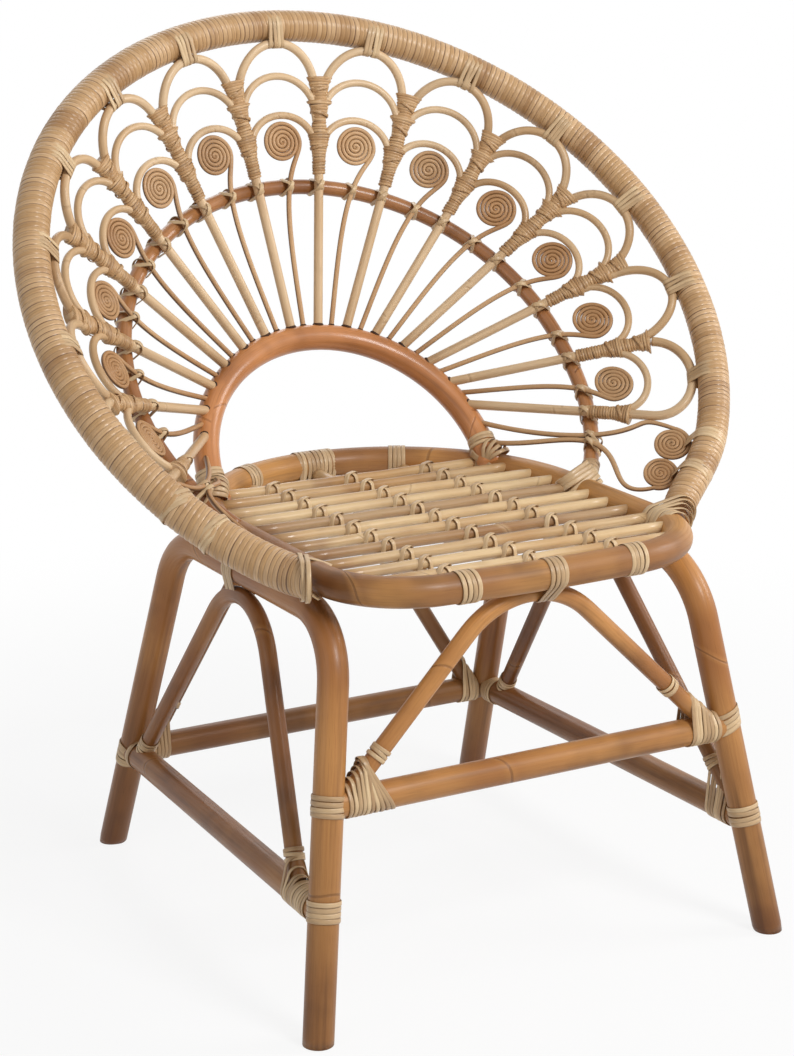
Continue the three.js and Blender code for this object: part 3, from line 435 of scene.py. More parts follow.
def ring_line():
    """The seat ring from above: a half oval behind, straight sides, round front corners, a bowed front."""
    turn = np.linspace(0, np.pi, 90)
    rear = np.stack([RING_HALF * np.cos(turn), SHOULDER + (RING_REAR - SHOULDER) * np.sin(turn)], 1)
    bend = np.linspace(0, np.pi / 2, 24)
    corner = {side: np.stack([side * (RING_HALF - r + r * np.cos(bend)),
                              RING_FRONT + r * (1 - np.sin(bend))], 1) for side, r in CORNER_R.items()}
    x = np.linspace(CORNER_R[-1] - RING_HALF, RING_HALF - CORNER_R[1], 20)[1:-1]
    plan = np.vstack([rear, corner[-1], np.stack([x, ring_front(x)], 1), corner[1][::-1]])
    return np.column_stack([plan, np.full(len(plan), RING_Z)])


def on_ring(side, y):
    """The middle of the seat ring's pole beside y, and the way that the ring runs there."""
    slant = side * (ring_half(y + 2) - ring_half(y - 2))
    return spot(side * ring_half(y), y, RING_Z), unit(spot(slant, 4, 0))


FRONT_RAIL, LOW_RAIL = 209.0, 115.0
LEGS = {"front": (spot(252, -161, 0), spot(195, -92, RUN_Z)),
        "rear": (spot(226.5, 370, 0), spot(198, 238, RUN_Z))}
FRONT_KNEE, REAR_KNEE = LEGS["front"][1], LEGS["rear"][1]


def leg_point(side, end, height):
    foot, knee = LEGS[end]
    return (foot + (knee - foot) * height / RUN_Z) * spot(side, 1, 1)


def run_point(side, y):
    share = (y - FRONT_KNEE[1]) / (REAR_KNEE[1] - FRONT_KNEE[1])
    return (FRONT_KNEE + (REAR_KNEE - FRONT_KNEE) * share) * spot(side, 1, 1)


def brace_line(start, peak, end, bend):
    """A bent pole from foot to foot whose highest place is at the peak's height."""
    corner = peak.copy()
    for _ in range(14):
        line = bent(np.array([start, corner, end]), bend)
        corner[2] += peak[2] - line[:, 2].max()
    return evenly(bent(np.array([start, corner, end]), bend, 24), 6)


# ---- The fan and the hoop ----

ARCH = {"r": 160.0, "x": 0.0, "y": 236.4, "z": 416.0, "lean": np.radians(41.4)}
HOOP = {"r": 359.5, "x": 1.8, "y": 167.4, "z": 603.6, "lean": np.radians(45.3)}
HOOP_TURN = np.radians(124)
HOOP_TAIL, HOOP_LEAD = 40, 42  # points of each tail; how far the hoop first leads it on
BAY = np.radians(18.6)
ARCH_SHARE = .56
MIDDLE_SHARE, MIDDLE_TURN, FLARE_TURN = .49, np.radians(143), np.radians(96)
NEAR_TURN = .005


def circle(form, turn):
    """A place on a leaning circle, turn from its top."""
    turn = np.asarray(turn, float)
    rise = form["r"] * np.cos(turn)
    return np.stack([form["x"] + form["r"] * np.sin(turn), form["y"] + rise * np.sin(form["lean"]),
                     form["z"] + rise * np.cos(form["lean"])], -1)


def front_of(form):
    """The way in which a leaning circle faces."""
    return spot(0, -np.cos(form["lean"]), np.sin(form["lean"]))


HOOP_FRONT = front_of(HOOP)


def spoke_way(turn):
    """From the arch to the hoop, along a spoke."""
    return circle(HOOP, turn) - circle(ARCH, np.asarray(turn) * ARCH_SHARE)


def fan_length(turn):
    return np.linalg.norm(spoke_way(turn), axis=-1)


def fan(share, turn):
    """A place on the fan: share of the way along the straight line from the arch to the hoop."""
    share, turn = np.broadcast_arrays(np.asarray(share, float), np.asarray(turn, float))
    return circle(ARCH, turn * ARCH_SHARE) + spoke_way(turn) * share[..., None]


def fan_step(share, turn):
    return fan(share, turn + NEAR_TURN) - fan(share, turn - NEAR_TURN)


def fan_ways(share, turn):
    """Ways round the fan, out to the hoop, and to the front of the fan."""
    around = unit(fan_step(share, turn))
    outward = np.broadcast_to(unit(spoke_way(turn)), around.shape)
    return around, outward, unit(np.cross(around, outward))


def turn_per_mm(share, turn):
    return 2 * NEAR_TURN / np.linalg.norm(fan_step(share, turn), axis=-1)


def on_fan(share, turn, lift=0.0):
    """Places on the fan, lifted off its front, and the ways to the front there."""
    front = fan_ways(share, turn)[2]
    lift = np.broadcast_to(lift, front.shape[:-1])
    return fan(share, turn) + front * lift[..., None], front


def growth(turn):
    """How much thicker the hoop is at a turn than at its top: it grows towards its left end."""
    return SWELL * np.maximum(-np.asarray(turn, float), 0) / HOOP_TURN


# For each end of the hoop: where it ends, the way in which it comes from there, and how far that leads
HOOP_ENDS = {-1: (spot(222, -90, 13), spot(.35, .94, 0), 48), 1: (spot(221.9, -30, 4), spot(.6, .6, .5), 25)}


def hoop_line():
    """The hoop: an arc of its leaning circle, and at both ends a smooth run down beside the seat ring."""
    turn = np.linspace(-HOOP_TURN, HOOP_TURN, 260)
    tails = []
    for side, (place, way, lead) in HOOP_ENDS.items():
        mirrored = spot(side, 1, 1)
        start = circle(HOOP, side * HOOP_TURN)
        leaving = unit(start - circle(HOOP, side * (HOOP_TURN - .004)))
        end = place * mirrored + UP * RING_Z
        tails.append(bezier([start, start + leaving * HOOP_LEAD, end + unit(way * mirrored) * lead, end],
                            HOOP_TAIL))
    line = np.vstack([tails[0][::-1][:-1], circle(HOOP, turn), tails[1][1:]])
    swell = np.concatenate([np.full(HOOP_TAIL, SWELL), growth(turn), np.zeros(HOOP_TAIL)])
    even = evenly(line, 2.0)
    return even, np.interp(run_of(even), run_of(line), swell)


def wound(line, hint, pitch, heights, sides, radii, drift, flat, wobble, unrest):
    """A winding of peel: for every turn a rounded strip, whose edges lie lower than its middle.
    heights lists the places across a turn and how high the strip stands there; radii gives the half width
    of the winding along the line, flat its depth as a share of that. The strip leans by drift as it goes
    round, unrest more or less."""
    run = run_of(line)
    turns = int(run[-1] / pitch)
    pitch = run[-1] / turns
    way, out, aside = frames(line, hint)
    places, rise = np.array(heights).T
    count = (np.arange(turns)[:, None] + places).ravel()
    at = count * pitch
    grow = np.repeat(dice.normal(0, wobble, turns), len(places)) + np.tile(rise, turns)
    slant = drift + np.repeat(dice.normal(0, unrest, turns), len(places))
    ring = ovals(unit(read(out, run, at)), unit(read(aside, run, at)),
                 np.interp(at, run, radii * flat) + grow, np.interp(at, run, radii) + grow, sides)
    slip = slant[:, None, None] * pitch * np.sin(round_of(sides))[:, None] * read(way, run, at)[:, None]
    return wall(read(line, run, at)[:, None] + ring + slip, count, 2 * np.pi * float(np.mean(radii)))


# ---- Lashings ----

STRIP_MAP = 1000
corner_turn = round_of(8) + np.pi / 8
STRIP = np.stack([np.sign(np.cos(corner_turn)) * abs(np.cos(corner_turn)) ** .7,
                  np.sign(np.sin(corner_turn)) * abs(np.sin(corner_turn)) ** .9], 1)


def loose(x, y):
    """A small chance slope for a turn of peel; nothing is thrown for a zero."""
    return tuple(dice.normal(0, size) if size else 0 for size in (x, y))


def shade(low, high=1.0):
    return float(dice.uniform(low, high))


def strip_grid(line, side, out, width, thick):
    return line[:, None] + STRIP[:, :1] * side * width / 2 + STRIP[:, 1:] * out * thick / 2


def tight_round(discs, count):
    """The line drawn tight round some discs in one plane: in every direction it lies on the disc that
    reaches furthest that way. Each disc is (x, y, radius)."""
    angle = round_of(720)
    ways = np.stack([np.cos(angle), np.sin(angle)], 1)
    discs = np.asarray(discs, float)
    best = (ways @ discs[:, :2].T + discs[:, 2]).argmax(1)
    line = discs[best, :2] + ways * discs[best, 2:]
    line = np.vstack([line, line[:1]])
    run = run_of(line)
    return read(line, run, np.linspace(0, run[-1], count, endpoint=False))


def turn_of_peel(middle, x_way, y_way, discs, width, thick, slope, tone, count=40):
    """One turn of peel round the discs, a flat strip with rounded edges. slope leans the turn: how far
    it moves along its axis for each millimetre in x and in y."""
    plan = tight_round([(x, y, r + thick / 2) for x, y, r in discs], count)
    axis = np.cross(x_way, y_way)
    line = middle + plan[:, :1] * x_way + plan[:, 1:] * y_way + (plan @ slope)[:, None] * axis
    way = unit(np.roll(line, -1, 0) - np.roll(line, 1, 0))
    out = unit(np.cross(way, axis))
    grid = strip_grid(line, np.cross(out, way)[:, None], out[:, None], width, thick)
    return wall(grid, run_of(line) + 100 * tone, STRIP_MAP, True, tone)


def row_of_turns(middle, axis, places, x_way, y_way, discs, width, thick, sway, tones, count=40):
    """Turns of peel side by side, one at each place along axis, swayed and toned by chance."""
    return [turn_of_peel(middle + axis * place, x_way, y_way, discs, width, thick, loose(*sway),
                         shade(*tones), count) for place in places]


def centred(count, step):
    """Places a step apart, as far before 0 as past it."""
    return (np.arange(count) - (count - 1) / 2) * step


def lashing(middle, axis, x_way, radius, turns, step, width, thick, splay=0.0, wobble=.05, tilt=0.0):
    """Turns of peel side by side round one pole, from middle on along axis. splay opens them like a fan."""
    x_way = unit(x_way - axis * (x_way @ axis))
    y_way = np.cross(axis, x_way)
    made = []
    for number in range(turns):
        slope = (tilt + splay * (number - (turns - 1) / 2) + dice.normal(0, wobble), dice.normal(0, wobble))
        made.append(turn_of_peel(middle + axis * step * number, x_way, y_way, [(0, 0, radius)], width,
                                 thick + dice.uniform(-.1, .25), slope, shade(.25, .95)))
    return made


def cross_tie(middle, lay, over, front, top_r, bottom_r, height, width, angles, thick, palest, drawn=False):
    """Two turns of peel that cross over a stick: each in a plane through front, turned by its angle from
    lay. With drawn they follow the slant on which each turn cuts the stick, and lie flat over it."""
    made = []
    for turned, under in zip(np.radians(angles), (0, .8 * thick)):
        wide = top_r / np.cos(turned) - top_r if drawn else 0
        way = unit(lay * np.cos(turned) + over * np.sin(turned))
        discs = [(place * wide, level * (height / 2 - r), r + under) for place in (-1, 1)
                 for level, r in ((1, top_r), (-1, bottom_r))]
        made.append(turn_of_peel(middle, way, front, discs, width, thick, (0, 0), shade(palest), 32))
    return made


# ---- Base ----

LEG_SIDES, LEG_BEND = 28, 70
for name, side in SIDES.items():
    corners = [leg_point(side, "rear", 0), leg_point(side, "rear", RUN_Z),
               leg_point(side, "front", RUN_Z), leg_point(side, "front", 0)]
    line = evenly(bent(np.array(corners), LEG_BEND, 30), 6)
    line[[0, -1], 2] = 0
    # The left leg's lower tone, .42, is painted shade.
    body = carry(line, LEG_R, ACROSS, LEG_SIDES, start=side * 300 + 900, tone=.42 if side < 0 else .5)
    body["points"][:LEG_SIDES, 2] = 0  # both feet are cut level on the floor
    body["points"][-LEG_SIDES - 2:, 2] = 0
    piece(f"leg_{name}", [body], leg_cane, [f"leg_frame_{name}"])

RAILS = {
    "front": (leg_point(-1, "front", FRONT_RAIL), leg_point(1, "front", FRONT_RAIL), .62),
    # The rear rail's low tone is painted shade.
    "rear": (leg_point(-1, "rear", LOW_RAIL), leg_point(1, "rear", LOW_RAIL), .3),
    "left": (leg_point(-1, "front", LOW_RAIL), leg_point(-1, "rear", LOW_RAIL), .42),
    "right": (leg_point(1, "front", LOW_RAIL), leg_point(1, "rear", LOW_RAIL), .3),
}
for name, (start, end, tone) in RAILS.items():
    line = evenly(np.array([start, end]), 10)
    pole(f"rail_{name}", line, STRETCHER_R, UP, 28, leg_cane, "frame", f"stretcher_{name}",
         start=len(name) * 170, tone=tone)

# feet: how far each foot stands from the leg; peak: the highest place, across or along the chair
BRACES = {
    "front": {"feet": (13, 17), "peak": -18, "bend": 90, "setback": 12, "tone": .6},
    # The rear brace's low tone is painted shade.
    "rear": {"feet": (18, 18), "peak": 0, "bend": 67, "setback": 0, "tone": .2},
    "left": {"feet": (52, 25), "peak": 72, "bend": 76, "tone": .32},
    "right": {"feet": (4, 37), "peak": 98, "bend": 60, "tone": .2},
}
brace_lines = {}
for name, form in BRACES.items():
    start, end = RAILS[name][:2]
    way = ACROSS if name in ("front", "rear") else unit(end - start)
    if name in SIDES:
        peak = run_point(SIDES[name], form["peak"]) - UP * (LEG_R + BRACE_R + CLEARANCE)
    else:
        y = ring_front(form["peak"]) if name == "front" else ring_rear(form["peak"])
        drop = np.sqrt((RING_R + BRACE_R + CLEARANCE) ** 2 - form["setback"] ** 2)
        peak = spot(form["peak"], y + form["setback"], RING_Z - drop)
    line = brace_line(start + way * form["feet"][0], peak, end - way * form["feet"][1], form["bend"])
    brace_lines[name] = line
    pole(f"bent_brace_{name}", line, BRACE_R, ACROSS if name in SIDES else ALONG, 24, leg_cane, "frame",
         f"brace_{name}", start=len(name) * 90, tone=form["tone"])

JOINT_STEP = 4.3


def joint_lashing(rail, end, turns, reach, crest, collar, collar_at):
    """Peel over the end of a rail and the foot of its brace: turns side by side from reach on, each drawn
    tight over the brace above it. Past crest they lean back to the brace. Then a collar on the brace."""
    start, stop = RAILS[rail][:2] if end == 0 else RAILS[rail][1::-1]
    axis = unit(stop - start)
    x_way = unit(np.cross(UP, axis))
    y_way = np.cross(axis, x_way)
    line = brace_lines[rail] if end == 0 else brace_lines[rail][::-1]
    away, height = (line - start) @ axis, (line - start) @ y_way
    free = int(np.argmax(height > 12))  # where the brace has left the rail
    steep = np.hypot(1, np.gradient(height, away))[free]
    made = []
    for number in range(turns):
        at = reach + JOINT_STEP * number
        top = min(at, crest)
        discs = [(0, 0, STRETCHER_R + .1)]
        lean_back = 0.0
        if top >= away[0] - 8:  # near enough to the brace's foot to take it in
            rise = max(float(np.interp(top, away, height)) + BRACE_R * (min(steep, 1.9) - 1), 7)
            discs.append((0, rise, BRACE_R + .3))
            lean_back = (top - at) / max(rise, 14)
        thick = 1.25 + dice.uniform(-.1, .2)
        slope = np.add((0, lean_back), loose(.03, .02))
        made.append(turn_of_peel(start + axis * at, x_way, y_way, discs, JOINT_STEP - .05, thick, slope,
                                 shade(.2), 56))
    run = run_of(line)
    way = unit(read(line, run, collar_at + 4) - read(line, run, collar_at - 4))
    return made + lashing(read(line, run, collar_at), way, ACROSS if rail in SIDES else ALONG,
                          BRACE_R + .1, collar, 4.4, 4.1, 1.2, wobble=.08)


def leg_band(side, end, height, turns, tilt=0.0, step=5.1):
    """Turns of peel round a leg alone."""
    middle = leg_point(side, end, height)
    axis = unit(leg_point(side, end, height + 10) - middle)
    return lashing(middle - axis * step * (turns - 1) / 2, axis, ACROSS, LEG_R + .1, turns, step, step - .1,
                   1.25, tilt=tilt, wobble=.03)


# Rail and its end; turns, reach and crest of the joint; turns and place of the collar; bands on the leg
JOINTS = {
    "front_left": ("front", 0, 10, 17, 37, 3, 52, [(-1, "front", FRONT_RAIL, 4)]),
    "front_right": ("front", 1, 8, 17, 50, 3, 72, [(1, "front", FRONT_RAIL + 5, 4, .3)]),
    "low_front_left": ("left", 0, 11, 17, 60, 3, 30, [(-1, "front", LOW_RAIL + 2, 4)]),
    "low_front_right": ("right", 0, 7, 17, 50, 3, 56, [(1, "front", LOW_RAIL + 4, 4)]),
    "low_rear_left": ("left", 1, 2, 17, 22, 5, 15,
                      [(-1, "rear", LOW_RAIL + 2, 5, .35, 4.4), (-1, "rear", LOW_RAIL - 3, 3, -.5, 4.4)]),
    "low_rear_right": ("right", 1, 4, 16, 24, 4, 16, []),
    "back_left": ("rear", 0, 5, 20, 38, 2, 52, []),
    "back_right": ("rear", 1, 5, 17, 32, 2, 48, []),
}
lash = {}
for name, (*joint, bands) in JOINTS.items():
    lash[name] = joint_lashing(*joint)
    for band in bands:
        lash[name] += leg_band(*band)
PEAK_STEP = 4.4
for name, side in SIDES.items():
    place = run_point(side, BRACES[name]["peak"] + (20 if side < 0 else -9))
    axis = unit(REAR_KNEE - FRONT_KNEE) * spot(side, 1, 1)
    discs = [(0, 0, LEG_R + .1), (0, -LEG_R - BRACE_R - (3 if side < 0 else 0), BRACE_R + .2)]
    y_way = unit(UP - axis * (UP @ axis))
    lash[f"peak_{name}"] = row_of_turns(place, axis, PEAK_STEP * np.arange(5), np.cross(y_way, axis), y_way,
                                        discs, PEAK_STEP, 1.1, (0, .04), (.3, .9))

# ---- Seat ----

ring = evenly(ring_line(), 6, True)
pole("seat_ring_pole", ring, RING_R, UP, 28, ring_cane, "seat", "seat_ring", loop=True, tone=.55)

SLATS, SLAT_PITCH, SLAT_SEAT, SLAT_POINTS = 11, 34.6, 8, 14
SLAT_Z = RING_Z + 4
SLAT_TONES = [.2, .35, .5, .6, .8]
slat_places = FRONT_SLAT + SLAT_PITCH * np.arange(SLATS)
for number, y in enumerate(slat_places, 1):
    left, right = (side * (ring_half(y, side) - RING_R + SLAT_SEAT) for side in (-1, 1))
    line = np.array([spot(x, y + dice.normal(0, .25), SLAT_Z + dice.normal(0, .2))
                     for x in np.linspace(left, right, SLAT_POINTS)])
    width = SLAT_R * (1 + .02 * np.sin(np.linspace(0, 9, SLAT_POINTS) + number))
    pole(f"slat_{number}", line, width, UP, 18, slat_cane, "slat", f"seat_slat_{number}",
         start=number * 137, tone=float(dice.choice(SLAT_TONES)))

BEARER_Z = SLAT_Z - SLAT_R - BEARER_R - CLEARANCE
BEARERS = {"left": -90.5, "middle": 0.0, "right": 90.5}
WRAP_STEP = 4.8
slat_top, bearer_foot = SLAT_Z + SLAT_R, BEARER_Z - BEARER_R
for name, x in BEARERS.items():
    line = evenly(np.array([spot(x, ring_front(x) + 9, BEARER_Z), spot(x, ring_rear(x) - 9, BEARER_Z)]), 12)
    pole(f"bearer_{name}", line, BEARER_R, UP, 20, slat_cane, "frame", f"seat_bearer_{name}",
         start=x * 3 + 600)
    ties = []
    for y in slat_places:
        angles = (dice.uniform(-30, -22), dice.uniform(54, 60))
        ties += cross_tie(spot(x, y, (slat_top + bearer_foot) / 2), ALONG, ACROSS, UP, SLAT_R + .15, BEARER_R,
                          slat_top - bearer_foot + .8, 6.0, angles, 1.1, .65, True)
    rear_way = unit(spot(2, ring_rear(x + 1) - ring_rear(x - 1), 0))
    for end, y, tangent in (("front", ring_front(x), ACROSS), ("rear", ring_rear(x), rear_way)):
        discs = [(0, 0, RING_R + .1)]
        if x == 0:  # the peak of a brace bears against the ring here, and is bound with it
            setback = BRACES[end]["setback"]
            discs.append((setback, -np.sqrt((RING_R + BRACE_R) ** 2 - setback ** 2), BRACE_R + .2))
        aside = unit(np.cross(UP, tangent))
        aside = aside if aside[1] > 0 else -aside
        count = 9 if x == 0 and end == "rear" else 4
        ties += row_of_turns(spot(x, y, RING_Z), tangent, centred(count, WRAP_STEP), aside, UP, discs,
                             WRAP_STEP - .1, 1.1, (.03, .03), (.35, .9))
    lash[f"bearer_{name}"] = ties

# ---- Hoop ----

hoop, swell = hoop_line()
MITRE_PLACE, MITRE_TURN = spot(-222, -95, RING_Z), np.radians(23)
MITRE_WAY = spot(np.cos(MITRE_TURN), -np.sin(MITRE_TURN), 0)


def mitred(w, beyond=0.0):
    """The left end cut off on a slant: what stands past the cut is pushed back along the hoop onto it."""
    way = unit(hoop[0] - hoop[4])
    points = w["points"]
    past = (points - MITRE_PLACE) @ MITRE_WAY - beyond
    near = (past > 0) & (points[:, 0] < 0) & (points[:, 1] < 40)
    points[near] -= way * (past[near] / (way @ MITRE_WAY))[:, None]
    return w


LONGER_POINTS, LONGER_STEP = 30, 2
back = np.arange(LONGER_POINTS, 0, -1)[:, None] * LONGER_STEP
longer = np.vstack([hoop[0] + unit(hoop[0] - hoop[3]) * back, hoop])
longer_swell = np.concatenate([np.full(LONGER_POINTS, swell[0]), swell])
HOOP_PITCH = 5.5
HOOP_TURN_FORM = [(.03, -.5), (.12, -.12), (.34, .03), (.66, .03), (.88, -.12), (.97, -.5)]
winding = wound(longer, HOOP_FRONT, HOOP_PITCH, HOOP_TURN_FORM, 32, WINDING_R + longer_swell, drift=.35,
                flat=1.0, wobble=.05, unrest=.05)
piece("hoop_binding", [mitred(winding)], hoop_peel, ["hoop_winding"])
piece("hoop_pole", [mitred(carry(longer, CORE_R + longer_swell, HOOP_FRONT, 30), .5)],
      core_cane, ["hoop_core"])

# Two last turns along the cut, six that hold the right end to the ring, and the two tails of the left end
ends = []
way = unit(hoop[0] - hoop[4])
cut_way = spot(-MITRE_WAY[1], MITRE_WAY[0], 0)
cut = hoop[0] + way * ((MITRE_PLACE - hoop[0]) @ MITRE_WAY) / (way @ MITRE_WAY)
for back in (2.6, 7.2):
    discs = [(x, 0, WINDING_R + SWELL) for x in (-9.3, 9.3)]
    ends.append(turn_of_peel(cut - way * back / (way @ MITRE_WAY), cut_way, UP, discs, 4.6, 1.0,
                             loose(.02, .03), .75, 60))
END_TURNS, END_STEP = 6, 6.6
END_Y = [-68, -58, -50, -43, -34]
END_FORM = np.array([[196, 203, 209, 214, 220], [400.5, 401, 402, 402.5, 404],
                     [8, 11.5, 14, 15.8, WINDING_R + .4]]).T  # the hoop's x, z and radius at each END_Y
for n in range(END_TURNS):
    y = END_Y[0] + END_STEP * n
    x, z, size = read(END_FORM, END_Y, y)
    discs = [(0, 0, RING_R + .2), (x - RING_HALF, z - RING_Z, size)]
    ends.append(turn_of_peel(spot(RING_HALF, y, RING_Z), ACROSS, UP, discs, END_STEP + .2, 1.3,
                             loose(.03, .04), shade(.5), 60))
TAILS = ((spot(-198, -38, 416.9), spot(-178, -53, 410), .8),
         (spot(-216, -58, 398), spot(-203, -76, 387.5), .3))
for start, end, rise in TAILS:
    line = evenly(np.array([start, (start + end) / 2 + UP * rise, end]), 2)
    way = unit(end - start)
    aside = unit(np.cross(UP, way))
    grid = strip_grid(line, aside, np.cross(way, aside), 6.4, 1.2)
    ends.append(wall(grid, run_of(line), STRIP_MAP, tone=.85))
lash["hoop_ends"] = ends

# ---- Middle ring and inner arch ----


def middle_share(turn):
    """Where the middle ring crosses the fan: its right foot runs outwards."""
    past = np.maximum(np.asarray(turn, float) - FLARE_TURN, 0) / (MIDDLE_TURN - FLARE_TURN)
    return MIDDLE_SHARE + .06 * past ** 1.4


turns = np.linspace(-MIDDLE_TURN, MIDDLE_TURN, 170)
middle_line, middle_front = on_fan(middle_share(turns), turns, -(SPOKE_R + MIDDLE_R + .7))
pole("middle_ring_pole", middle_line, MIDDLE_R, middle_front, 20, middle_cane, "arch", "middle_ring")

bend = circle(ARCH, np.linspace(-np.pi / 2, np.pi / 2, 90))
arch_foot = spot(0, -np.sin(ARCH["lean"]), -np.cos(ARCH["lean"])) * 18
arch_line = evenly(np.vstack([bend[0] + arch_foot, bend, bend[-1] + arch_foot]), 5)
pole("arch_pole", arch_line, ARCH_R, front_of(ARCH), 28, arch_cane, "arch", "inner_arch", tone=.55)

# ---- Spokes with their bindings and bows ----

# Share where each bow leaves the binding, share of its top (None: against the hoop), and its radius
BOWS = {
    "three": [(.645, .715, INNER_BOW_R), (.755, .84, INNER_BOW_R), (.826, None, OUTER_BOW_R)],
    "two": [(.68, .76, INNER_BOW_R), (.79, None, OUTER_BOW_R)],
    "one": [(.68, .76, INNER_BOW_R)],
}
BOW_INSET, BOW_TUCK, BOW_START, OUTER_LIFT = 6.6, 3.8, np.radians(22), 9.0
BOW_FEET, BOW_TOP = 8, 36
SPOKES, LAST_BAY = 7, 6
BORE_FLOOR = 7.0


def spoke_turn(number, side):
    return side * BAY * (number - .5)


def bows_of(bay):
    return BOWS["three" if bay <= 4 else "two" if bay < LAST_BAY else "one"]


def outer_peak(turn):
    apart = WINDING_R + growth(turn) + OUTER_BOW_R + .6
    return float(1 - np.sqrt(apart ** 2 - OUTER_LIFT ** 2) / fan_length(turn))


def last_peak(turn):
    """The top of the last spoke, which bends over and bears against the hoop."""
    return float(1 - (WINDING_R + growth(turn) + SPOKE_R + .6) / fan_length(turn))


def bow(middle_turn, end, peak, radius):
    """A small arch between two spokes: part of an oval over the bay, and two straight feet that run
    down beside the spokes inside the binding. The top of an outer bow stands forward, over the hoop."""
    lift = OUTER_LIFT if peak is None else 0.0
    peak = outer_peak(middle_turn) if peak is None else peak
    half = BAY / 2 - BOW_INSET * turn_per_mm(end, middle_turn)
    angle = np.linspace(BOW_START, np.pi - BOW_START, BOW_TOP)
    rise = (np.sin(angle) - np.sin(BOW_START)) / (1 - np.sin(BOW_START))
    turn = middle_turn - half * np.cos(angle) / np.cos(BOW_START)
    foot_share = np.linspace(end - .075, end - .006, BOW_FEET)
    tuck = np.linspace(BOW_TUCK, BOW_INSET, BOW_FEET)
    foot_half = BAY / 2 - tuck * turn_per_mm(foot_share, middle_turn)
    share = np.concatenate([foot_share, end + (peak - end) * rise, foot_share[::-1]])
    turn = np.concatenate([middle_turn - foot_half, turn, middle_turn + foot_half[::-1]])
    line, front = on_fan(share, turn, np.pad(lift * rise, BOW_FEET))
    thinner = np.linspace(.7, 1, BOW_FEET)
    girth = radius * np.concatenate([thinner, np.ones(BOW_TOP), thinner[::-1]])
    return carry(line, girth, front, 12, start=abs(middle_turn) * 900 + end * 500, tone=shade(.35, .8))


# For each joint of a column: half width of its rim and of the waist under it, how far the rim stands
# above the joint, and where the crossing turn lies below it
CUPS = ((12.8, 10.9, .009, .03), (15.4, 10.4, .006, .034), (15.2, 11.4, .014, .026))
COLUMN_PITCH = 2.9
COLUMN_TURN_FORM = [(.05, -.6), (.28, .05), (.72, .05), (.95, -.6)]


def binding(number, side):
    """The column of peel over a spoke: it swells to a cup at each joint with the bows, narrows above it."""
    turn = spoke_turn(number, side)
    joints = [end for end, _, _ in bows_of(number - 1)]
    knots = [(.526, 7.2, 6.3)]  # share, half width and half depth
    for joint, (rim, waist, up, _) in zip(joints, CUPS):
        knots += [(joint - .052, 7.5, 6.4), (joint - .034, waist - 1.6, 6.9), (joint - .01, waist, 7.2),
                  (joint + up, rim, 7.6)]
        if joint != joints[-1]:
            knots.append((joint + up + .004, 9.4, 6.8))
    shares, wide, deep = np.array(knots).T
    along = np.linspace(shares[0], shares[-1], 300)
    half = np.interp(along, shares, wide)
    ratio = np.interp(along, shares, deep) / half
    made = [wound(fan(along, turn), fan_ways(along, turn)[2], COLUMN_PITCH, COLUMN_TURN_FORM, 22, half,
                  drift=.2, flat=ratio, wobble=.16, unrest=.13)]
    for joint, (_, _, _, below) in zip(joints, CUPS):
        around, outward, ahead = fan_ways(joint - below, turn)
        way = unit(around + outward * dice.choice([-1, 1]) * dice.uniform(.25, .5))
        made.append(turn_of_peel(fan(joint - below, turn), way, ahead, [(-2.0, 0, 7.3), (2.0, 0, 7.3)],
                                 3.4, 1.0, (0, 0), shade(.3)))
    return made


def spoke(number, side):
    """A thick spoke from its hole in the arch to the top of its binding; the last one bends over."""
    turn = spoke_turn(number, side)
    start = BORE_FLOOR / float(fan_length(turn))
    if number < SPOKES:
        line, front = on_fan(np.linspace(start, .84 if number < LAST_BAY else .8, 40), np.full(40, turn))
    else:
        bay = BAY * LAST_BAY
        swing = np.radians(168) * np.linspace(0, 1, 50)
        over = .775 + (last_peak(side * bay) - .775) * np.sin(swing)
        share = np.concatenate([np.linspace(start, .76, 30), over])
        turns = side * np.concatenate([np.full(30, bay + BAY / 2), bay + BAY / 2 * np.cos(swing)])
        line, front = on_fan(share, turns)
    return carry(line, SPOKE_R, front, 14, start=number * 211 + side * 40, tone=shade(.4, .75))


for name, side in SIDES.items():
    for number in range(1, SPOKES + 1):
        walls = [spoke(number, side)]
        if not (number == 1 and side > 0):  # the middle bay's bows ride on the first spoke on the left
            walls += [bow(side * BAY * (number - 1), *form) for form in bows_of(number - 1)]
        piece(f"spoke_{name}_{number}", walls, reed, [f"fan_spoke_{name}_{number}"])
        piece(f"spoke_binding_{name}_{number}", binding(number, side), column_peel)

# ---- Scrolls ----

SCROLL_RUN, SCROLL_TURNS, SCROLL_PITCH = 20.9, 4.7, 4.42
STEM_LIFT = -(SPOKE_R - STEM_R)
SWAY = np.radians(-3.5)
# Turn on the arch, middle, hand, and the two places that lead the stem, as (share, degrees)
LOW_SCROLLS = [(75.6, (.857, 127.2), -1, (.914, 126.8), (.615, 119.6)),
               (84.5, (.846, 135.0), 1, (.78, 106.9), (.559, 150.8))]


def beside(share, turn, around, outward):
    """A place near a middle on the fan, in millimetres round and outward."""
    far = share + outward / fan_length(turn)
    return far, turn + around * turn_per_mm(far, turn)


stems = []


